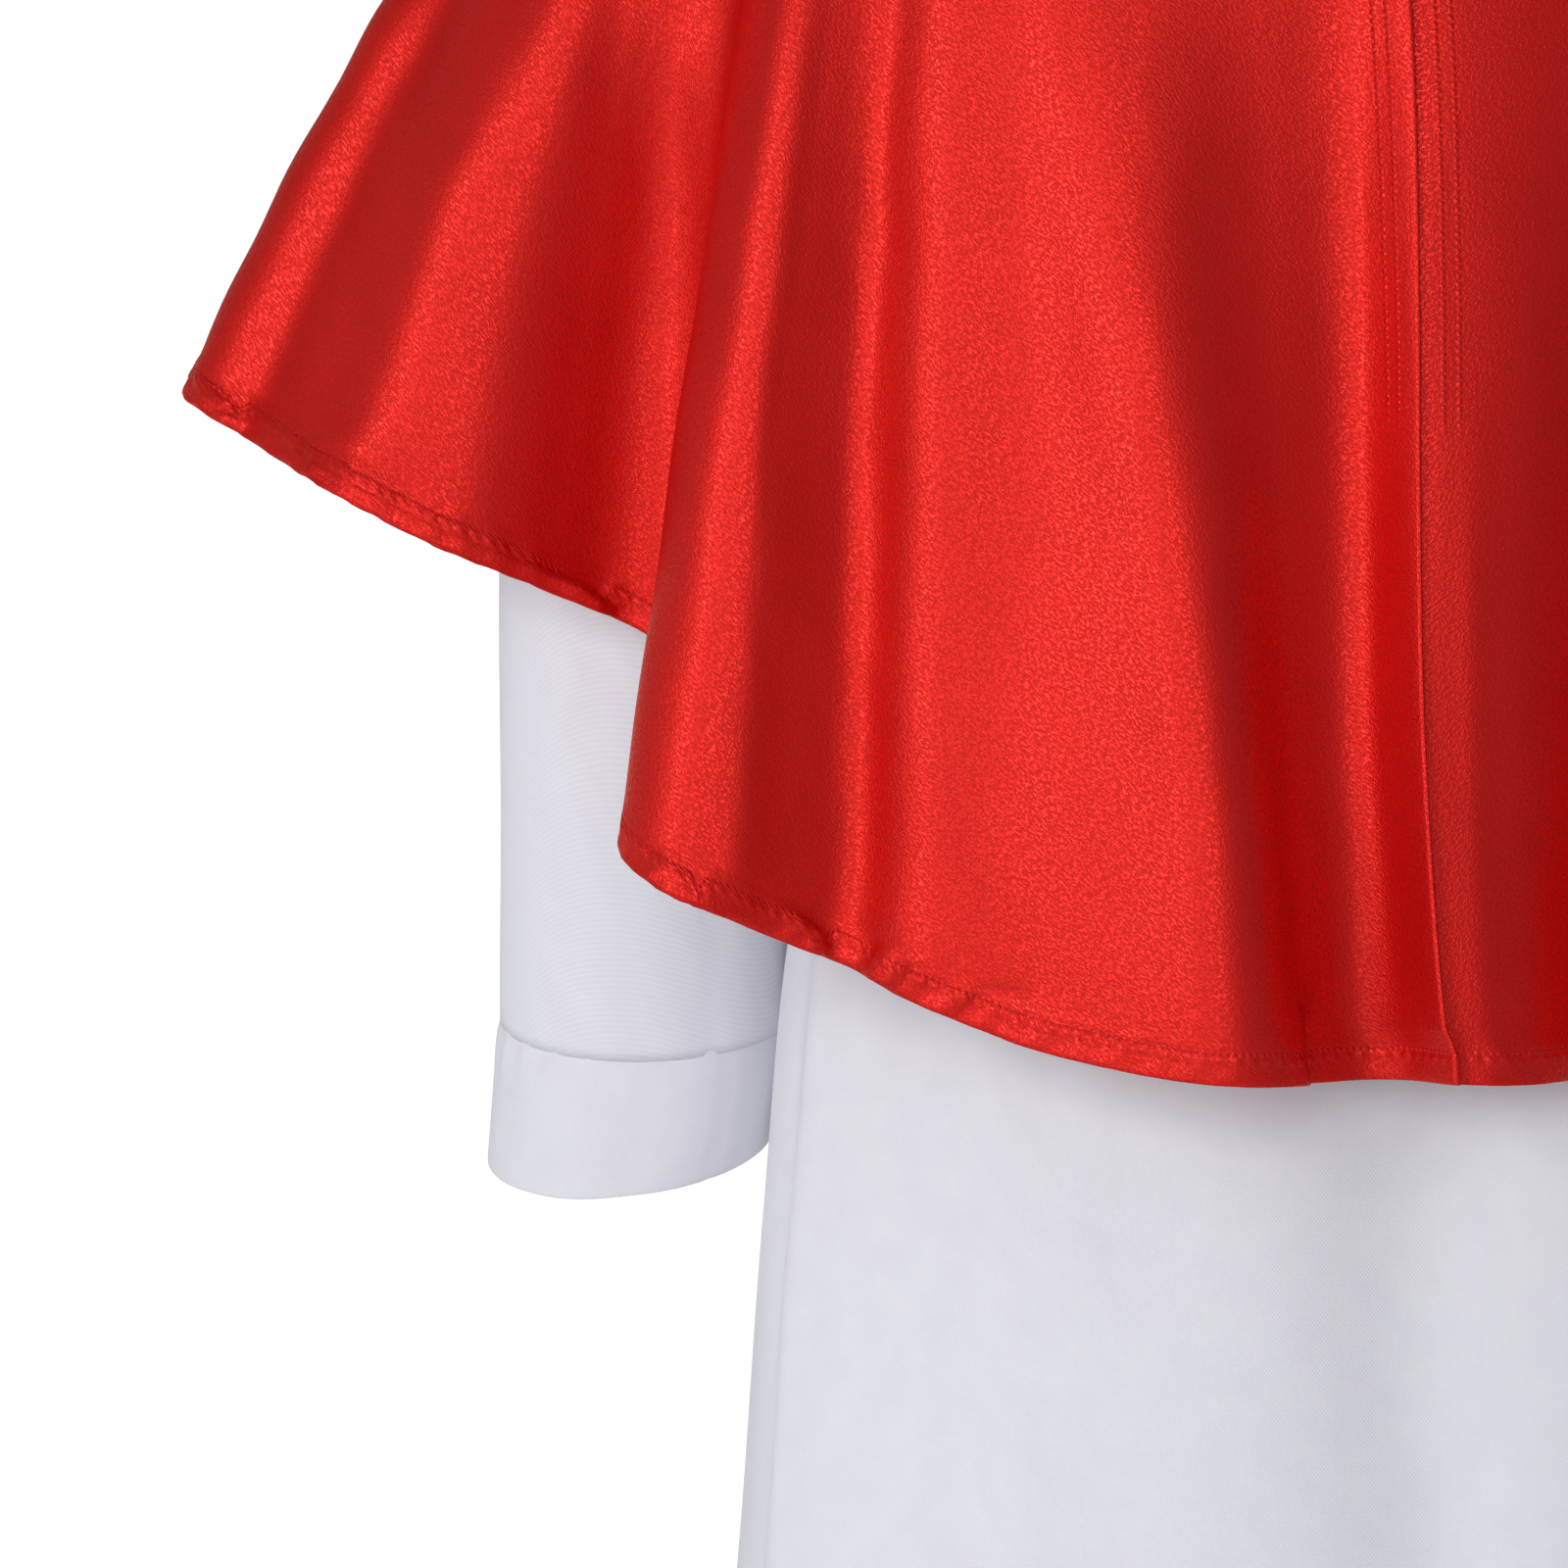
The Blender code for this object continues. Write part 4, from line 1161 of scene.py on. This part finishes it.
class Value:
    """A number that changes over a surface. Sums with it add Math nodes."""

    def __init__(self, shading, socket):
        self.shading = shading
        self.socket = socket

    def math(self, operation, *others):
        values = dict(enumerate((self, *others)))
        return self.shading.value("ShaderNodeMath", {"operation": operation}, values)

    def __add__(self, other):
        return self.math("ADD", other)

    __radd__ = __add__

    def __mul__(self, other):
        return self.math("MULTIPLY", other)

    __rmul__ = __mul__

    def __sub__(self, other):
        return self.math("SUBTRACT", other)

    def __rsub__(self, other):
        return self.shading.value("ShaderNodeMath", {"operation": "SUBTRACT"}, {0: other, 1: self})

    def sine(self):
        return self.math("SINE")

    def held(self):
        """Kept between 0 and 1."""
        return self.shading.value("ShaderNodeClamp", {}, {"Value": self})


class Shading:
    """A material and the nodes that finish it."""

    def __init__(self, name):
        self.material = bpy.data.materials.new(name)
        self.material.use_nodes = True
        self.tree = self.material.node_tree
        self.surface = self.tree.nodes["Principled BSDF"]

    def put(self, socket, value):
        if isinstance(value, Value):
            value = value.socket
        if isinstance(value, bpy.types.NodeSocket):
            self.tree.links.new(value, socket)
        else:
            socket.default_value = value

    def node(self, kind, settings=None, values=None):
        made = self.tree.nodes.new(kind)
        for name, setting in (settings or {}).items():
            setattr(made, name, setting)
        for name, value in (values or {}).items():
            self.put(made.inputs[name], value)
        return made

    def value(self, kind, settings=None, values=None):
        return Value(self, self.node(kind, settings, values).outputs[0])

    def mix(self, share, first, second):
        """A colour between two, which a Math node would turn grey."""
        made = self.node("ShaderNodeMix", {"data_type": "RGBA"}, {0: share, 6: first, 7: second})
        return made.outputs[2]

    def finish(self, **values):
        for name, value in values.items():
            self.put(self.surface.inputs[name.replace("_", " ")], value)
        return self.material


def cloth_place(shading):
    """The piece's own cloth map, in metres."""
    return shading.node("ShaderNodeUVMap", {"uv_map": CLOTH_MAP}).outputs[0]


def turned_place(shading, place, turn, size):
    """A place turned and then measured in its own sizes along and across."""
    settings = {"vector_type": "TEXTURE"}
    mapping = shading.node("ShaderNodeMapping", settings, {0: place, 2: (0.0, 0.0, turn), 3: size})
    return mapping.outputs[0]


def noise(shading, place, scale, detail=2.0, distortion=0.0):
    return shading.value(
        "ShaderNodeTexNoise", {"noise_dimensions": "2D"},
        {"Vector": place, "Scale": scale, "Detail": detail, "Distortion": distortion},
    )


def bump(shading, height, strength, distance, under=None):
    """A bump's normal, over another bump's if one is given."""
    values = {"Height": height, "Strength": strength, "Distance": distance}
    if under:
        values["Normal"] = under
    return shading.node("ShaderNodeBump", {}, values).outputs[0]


def colour(value):
    return (*value, 1.0)


def dimples(shading, rows):
    """Dips where each row's stitches pull the cloth in."""
    total = 0.0
    for edge, distance, spread, pitch, end in rows:
        place = shading.node("ShaderNodeUVMap", {"uv_map": edge}).outputs[0]
        parts = shading.node("ShaderNodeSeparateXYZ", {}, {0: place})
        along, away = (Value(shading, parts.outputs[i]) for i in (0, 1))
        near = (1 - ((away - distance) * (1 / spread)).math("ABSOLUTE")).held()
        wave = (along * (2 * math.pi / pitch)).sine() * 0.5 + 0.5
        inside = (along * ROW_EASE).held() * ((end - along) * ROW_EASE).held()
        total = near * wave * inside + total
    return total


def satin(name, dark, light):
    """Red satin: short slanting floats of thread that catch the light, with a painted sheen that lightens
    the floats.
    """
    shading = Shading(name)
    place = cloth_place(shading)
    floats = noise(shading, turned_place(shading, place, FLOAT_TURN, FLOAT_SIZE), 1.0, 2.0, 0.3)
    specks = noise(shading, place, SPECK_SCALE, 1.0)
    drift = noise(shading, place, DRIFT_SCALE, 2.0)
    grain = ((floats * 0.6 + specks * 0.4 - 0.5) * GRAIN_CONTRAST + 0.5).held()
    # Painted sheen: the floats' grain lightens the colour, over a slow drift of uneven tone
    share = ((grain - 0.5) * 0.5 + (drift - 0.5) * 0.3 + 0.45).held()
    weave = bump(shading, grain, 1.0, SATIN_RELIEF)
    sewn = bump(shading, dimples(shading, SATIN_ROWS), 1.0, SATIN_DIMPLE, weave)
    return shading.finish(
        Base_Color=shading.mix(share, colour(dark), colour(light)),
        Roughness=(0.43 - (grain - 0.5) * 0.30).held(),
        Normal=sewn,
        Metallic=0.58,
        Specular_IOR_Level=0.75,
        Specular_Tint=(1.0, 0.72, 0.55, 1.0),
    )


def twill(name, shade, white):
    """White twill: fine slanting ribs, a little uneven, over a faint cross weave, with painted shade between
    the ribs.
    """
    shading = Shading(name)
    place = cloth_place(shading)
    soft = noise(shading, place, TWILL_SOFT_SCALE, 3.0)
    fine = noise(shading, place, TWILL_FINE_SCALE, 1.0)
    turned = turned_place(shading, place, TWILL_TURN, (TWILL_PITCH, TWILL_PITCH, 1.0))
    across = Value(shading, shading.node("ShaderNodeSeparateXYZ", {}, {0: turned}).outputs[0])
    ribs = ((across + (soft - 0.5) * 0.4) * (2 * math.pi)).sine() * 0.5 + 0.5
    cloth = ribs * 0.75 + fine * 0.25
    # Painted shade: the colour darkens between the ribs, plus soft patches of uneven tone
    share = (0.6 + (cloth - 0.5) * 0.35 + (soft - 0.5) * 0.4).held()
    weave = bump(shading, cloth, 0.25, TWILL_RELIEF)
    sewn = bump(shading, dimples(shading, TWILL_ROWS), 0.8, TWILL_DIMPLE, weave)
    return shading.finish(
        Base_Color=shading.mix(share, colour(shade), colour(white)),
        Roughness=(0.74 - (cloth - 0.5) * 0.12).held(),
        Normal=sewn,
        Specular_IOR_Level=0.35,
        Sheen_Weight=0.12,
        Sheen_Roughness=0.5,
    )


def thread(name, dark, light):
    """Sewing thread, with the slant of its twist."""
    shading = Shading(name)
    place = shading.node("ShaderNodeTexCoord").outputs["Object"]
    twist = noise(shading, place, TWIST_SCALE, 1.0)
    return shading.finish(
        # Painted shade: the twist noise mixes in the darker colour
        Base_Color=shading.mix(twist, colour(dark), colour(light)),
        Roughness=0.55,
    )


def tape(name, dark, light):
    """Woven zip tape, ribbed along its length, with painted sheen on the ribs and painted shade between
    them.
    """
    shading = Shading(name)
    place = shading.node("ShaderNodeTexCoord").outputs["Object"]
    parts = shading.node("ShaderNodeSeparateXYZ", {}, {0: place})
    ribs, rows = (
        (Value(shading, parts.outputs[axis]) * (2 * math.pi / pitch)).sine() * 0.5 + 0.5
        for axis, pitch in zip((0, 2), TAPE_PITCH)
    )
    weave = ribs * 0.6 + rows * 0.4
    return shading.finish(
        # Painted sheen and shade: lighter on the ribs, darker between them
        Base_Color=shading.mix(weave, colour(dark), colour(light)),
        Roughness=0.8,
        Normal=bump(shading, weave, 0.5, TAPE_RELIEF),
    )


def material_of(name):
    """Each material is made once, from the colours in the sidebar."""
    if name in bpy.data.materials:
        return bpy.data.materials[name]
    look = bpy.context.scene.robe_looks
    makers = {
        "robe_satin": lambda: satin(name, look.red_deep, look.red_painted_sheen),
        "robe_twill": lambda: twill(name, look.white_painted_shade, look.white),
        "robe_red_thread": lambda: thread(name, look.red_deep, look.red_thread),
        "robe_white_thread": lambda: thread(name, look.white_painted_shade, look.white),
        "robe_red_tape": lambda: tape(name, look.red_deep, look.red_painted_sheen),
        "robe_white_tape": lambda: tape(name, look.white_painted_shade, look.white),
    }
    return makers[name]()


# Settings in the sidebar

def length_value(label, description, default):
    return FloatProperty(name=label, description=description, default=default, unit="LENGTH", precision=5)


def colour_value(label, description, default):
    return FloatVectorProperty(
        name=label, description=description, default=default, subtype="COLOR", size=3, min=0.0, max=1.0,
    )


class RobeSizes(bpy.types.PropertyGroup):
    """Cloth and sewing sizes."""

    twill: length_value("Twill", "Thickness of the white cloth", TWILL_CLOTH)
    satin: length_value("Satin", "Thickness of the red cloth", SATIN_CLOTH)
    stitch_pitch: length_value("Stitch pitch", "Distance from one stitch to the next", 0.0028)
    stitch_length: length_value("Stitch length", "Length of thread that shows in one stitch", 0.0023)
    thread: length_value("Thread", "Thickness of the sewing thread", 0.00042)


class RobeLooks(bpy.types.PropertyGroup):
    """Cloth and thread colours."""

    red_deep: colour_value("Deep red", "Satin between its catches of light", (0.52, 0.0010, 0.0015))
    # Painted sheen: the light red of the satin's floats and of the red tape's ribs
    red_painted_sheen: colour_value("Bright red", "Satin floats", (0.78, 0.008, 0.008))
    red_thread: colour_value("Red thread", "Stitches on the satin", (0.62, 0.004, 0.005))
    white: colour_value("White", "Twill ribs", (0.83, 0.83, 0.88))
    # Painted shade: the white between the twill's ribs, also the dark of the white thread and tape
    white_painted_shade: colour_value("White in shade", "Twill between its ribs", (0.70, 0.69, 0.76))
    floor: colour_value("Floor", "Floor round the garment", (0.92, 0.92, 0.93))


class ClothOperator:
    """What the operators of this panel share."""

    bl_options = {"REGISTER", "UNDO"}

    @staticmethod
    def sizes():
        return bpy.context.scene.robe_sizes


class ROBE_OT_panels(ClothOperator, bpy.types.Operator):
    """Makes the robe's back and its two fronts, with their turned hem"""

    bl_idname = "robe.panels"
    bl_label = "Robe panels"

    def execute(self, context):
        cloth, white = self.sizes().twill, material_of("robe_twill")
        panels = {
            "robe_back": robe_back_sheet(),
            "robe_front_left": robe_front_sheet(True),
            "robe_front_right": robe_front_sheet(False),
        }
        for name, sheet in panels.items():
            whole = turned_under(sheet, ROBE_TURN_ROWS, cloth / 2 + HEM_GAP)
            piece = cloth_object(name + "_cloth", whole, cloth, white)
            (width, length), area = CUTS[name]
            turned = (ROBE_HEM + EDGE_STEPS[-1]) * width
            nodes = (name + "_upper", name + "_lower")
            dress(piece, nodes, "white_twill", (width, length + ROBE_HEM), area + turned)
        return {"FINISHED"}


class ROBE_OT_sleeves(ClothOperator, bpy.types.Operator):
    """Makes the two sleeves and their doubled cuffs"""

    bl_idname = "robe.sleeves"
    bl_label = "Sleeves and cuffs"

    def execute(self, context):
        cloth, white = self.sizes().twill, material_of("robe_twill")
        for side, left in (("left", True), ("right", False)):
            sleeve = cloth_object(f"sleeve_{side}_cloth", sleeve_sheet(left), cloth, white)
            dress(sleeve, (f"sleeve_{side}",), "white_twill", *CUTS["sleeve"])
            whole = turned_under(cuff_sheet(left), CUFF_TURN_ROWS, cloth / 2 + HEM_GAP)
            cuff = cloth_object(f"cuff_{side}_cloth", whole, cloth, white)
            dress(cuff, (f"cuff_{side}",), "white_twill", *CUTS["cuff"])
        return {"FINISHED"}


class ROBE_OT_neckbands(ClothOperator, bpy.types.Operator):
    """Makes the narrow neckbands of the robe and the cape"""

    bl_idname = "robe.neckbands"
    bl_label = "Neckbands"

    def execute(self, context):
        sizes = self.sizes()
        angles = np.linspace(-math.pi, math.pi, BAND_COLUMNS + 1)
        band = band_sheet(angles, 0.0, BAND_RISE, -BAND_TUCK, BAND_LEAN, TWILL, sizes.twill)
        band.points[:, 0, 0], band.points[:, -1, 0] = -SEAM, SEAM
        piece = cloth_object("robe_neckband_cloth", band, sizes.twill, material_of("robe_twill"))
        dress(piece, ("robe_neckband",), "white_twill", *CUTS["robe_neckband"])
        angles = np.linspace(0.0, 2 * math.pi, BAND_COLUMNS + 1)
        band = band_sheet(angles, TWILL + REST, CAPE_BAND_RISE, CAPE_BAND_FOOT, 0.0, SATIN, sizes.satin)
        band.points[:, 0, 0], band.points[:, -1, 0] = SEAM, -SEAM
        piece = cloth_object("cape_neckband_cloth", band, sizes.satin, material_of("robe_satin"))
        dress(piece, ("cape_neckband",), "red_satin", *CUTS["cape_neckband"])
        return {"FINISHED"}


class ROBE_OT_cape(ClothOperator, bpy.types.Operator):
    """Makes the two halves of the shoulder cape, with their turned hem"""

    bl_idname = "robe.cape"
    bl_label = "Cape"

    def execute(self, context):
        cloth = self.sizes().satin
        for side, left in (("left", True), ("right", False)):
            whole = turned_under(cape_sheet(left), CAPE_TURN_ROWS, cloth / 2 + HEM_GAP)
            piece = cloth_object(f"cape_{side}_cloth", whole, cloth, material_of("robe_satin"))
            dress(piece, (f"cape_{side}",), "red_satin", *CUTS["cape"], rests_on=["robe_back_cloth"])
        return {"FINISHED"}


class ROBE_OT_stitches(ClothOperator, bpy.types.Operator):
    """Sews the hems, the zip tapes and the cuffs, stitch by stitch"""

    bl_idname = "robe.stitches"
    bl_label = "Stitches"

    def row(self, line, cloth):
        sizes = self.sizes()
        rise = cloth / 2 + sizes.thread * STITCH_RISE
        return stitch_row(line, rise, sizes.stitch_pitch, sizes.stitch_length, sizes.thread)

    def execute(self, context):
        sizes = self.sizes()
        stitch_line = -1 - round(CAPE_HEM / CAPE_HEM_STEP)
        hem = [self.row(line_across(cape_sheet(left), stitch_line), sizes.satin) for left in (True, False)]
        stitches_object("cape_hem_stitches", hem, material_of("robe_red_thread"))
        rows = []
        for left, lines in ((True, ZIP_STITCHES_LEFT), (False, ZIP_STITCHES_RIGHT)):
            for from_edge in lines:
                line = line_down(cape_sheet(left), from_edge, ZIP_FIRST_ROW, zip_row())
                rows.append(self.row(line, sizes.satin))
        stitches_object("cape_zip_stitches", rows, material_of("robe_red_thread"))
        stitch_line = -1 - (ROBE_HEM_STEPS - 2)
        sheets = (robe_back_sheet(), robe_front_sheet(True), robe_front_sheet(False))
        hem = [self.row(line_across(sheet, stitch_line), sizes.twill) for sheet in sheets]
        stitches_object("robe_hem_stitches", hem, material_of("robe_white_thread"))
        cuffs = (cuff_sheet(True), cuff_sheet(False))
        rows = [self.row(line_across(cuff, CUFF_STITCH_ROW), sizes.twill) for cuff in cuffs]
        stitches_object("cuff_stitches", rows, material_of("robe_white_thread"))
        return {"FINISHED"}


class ROBE_OT_zips(ClothOperator, bpy.types.Operator):
    """Finishes the zip tapes behind the centre seams"""

    bl_idname = "robe.zips"
    bl_label = "Zip tapes"

    def execute(self, context):
        for node, name in (("cape_zip_tape", "robe_red_tape"), ("robe_zip_tape", "robe_white_tape")):
            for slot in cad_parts[node].material_slots:
                slot.material = material_of(name)
        return {"FINISHED"}


class ROBE_OT_stage(bpy.types.Operator):
    """Sets the floor, the studio lights and the camera"""

    bl_idname = "robe.stage"
    bl_label = "Floor, lights and camera"
    bl_options = {"REGISTER", "UNDO"}

    def execute(self, context):
        add_floor(context.scene.robe_looks.floor)
        add_world()
        for row in LIGHTS:
            add_light(*row)
        add_camera()
        context.scene.view_settings.view_transform = "Standard"
        return {"FINISHED"}


def add_floor(tint):
    mesh = bpy.data.meshes.new("floor")
    shape = bmesh.new()
    bmesh.ops.create_circle(shape, cap_ends=True, segments=FLOOR_CORNERS, radius=FLOOR_RADIUS)
    for vert in shape.verts:
        vert.co.z = FLOOR_Z
    shape.to_mesh(mesh)
    shape.free()
    shading = Shading("pale_floor")
    place = shading.node("ShaderNodeTexCoord").outputs["Object"]
    ahead = Value(shading, shading.node("ShaderNodeSeparateXYZ", {}, {0: place}).outputs[1])
    far = ((ahead * -1 - FLOOR_NEAR) * (1 / FLOOR_FADE)).held()
    glow = shading.mix(far, colour((0.0, 0.0, 0.0)), colour(tint))
    mesh.materials.append(shading.finish(
        Base_Color=colour(tint), Roughness=0.9, Specular_IOR_Level=0.1,
        Emission_Color=glow, Emission_Strength=FLOOR_GLOW,
    ))
    placed("floor", mesh)


def add_world():
    world = bpy.data.worlds.new("studio")
    world.use_nodes = True
    sky = world.node_tree.nodes["Background"]
    sky.inputs["Color"].default_value = (0.96, 0.98, 1.0, 1.0)
    sky.inputs["Strength"].default_value = WORLD_STRENGTH
    bpy.context.scene.world = world


def add_light(name, place, aim, size, watts):
    lamp = bpy.data.lights.new(name, "AREA")
    lamp.shape = "RECTANGLE"
    lamp.size, lamp.size_y = size
    lamp.energy = watts
    item = placed(name, lamp)
    item.location = place
    way = Vector(aim) - Vector(place)
    item.rotation_euler = way.to_track_quat("-Z", "Y").to_euler()


def add_camera():
    """The photograph's view: from behind, a little above, close on the wearer's left."""
    lens = bpy.data.cameras.new("camera")
    lens.sensor_width = SENSOR
    lens.lens = SENSOR * CAMERA_DISTANCE / VIEW_WIDTH
    item = placed("camera", lens)
    rise = math.radians(CAMERA_RISE)
    aim = Vector(CAMERA_AIM)
    item.location = aim + CAMERA_DISTANCE * Vector((0.0, math.cos(rise), math.sin(rise)))
    item.rotation_euler = (math.pi / 2 - rise, 0.0, math.pi)
    bpy.context.scene.camera = item


STEPS = (
    ROBE_OT_panels,
    ROBE_OT_sleeves,
    ROBE_OT_neckbands,
    ROBE_OT_cape,
    ROBE_OT_stitches,
    ROBE_OT_zips,
    ROBE_OT_stage,
)


class ROBE_PT_sidebar(bpy.types.Panel):
    """Lists the robe's settings and the steps that make it"""

    bl_idname = "ROBE_PT_sidebar"
    bl_label = "Priest robe"
    bl_space_type = "VIEW_3D"
    bl_region_type = "UI"
    bl_category = "Priest robe"

    def draw(self, context):
        for group in (context.scene.robe_sizes, context.scene.robe_looks):
            for name in group.__annotations__:
                self.layout.prop(group, name)
        for step in STEPS:
            self.layout.operator(step.bl_idname)


CLASSES = (RobeSizes, RobeLooks, *STEPS, ROBE_PT_sidebar)


def register():
    for item in CLASSES:
        bpy.utils.register_class(item)
    bpy.types.Scene.robe_sizes = PointerProperty(type=RobeSizes)
    bpy.types.Scene.robe_looks = PointerProperty(type=RobeLooks)


def unregister():
    del bpy.types.Scene.robe_sizes
    del bpy.types.Scene.robe_looks
    for item in reversed(CLASSES):
        bpy.utils.unregister_class(item)


def main():
    register()
    for step in STEPS:
        group, name = step.bl_idname.split(".")
        getattr(getattr(bpy.ops, group), name)()


if __name__ == "__main__":
    main()
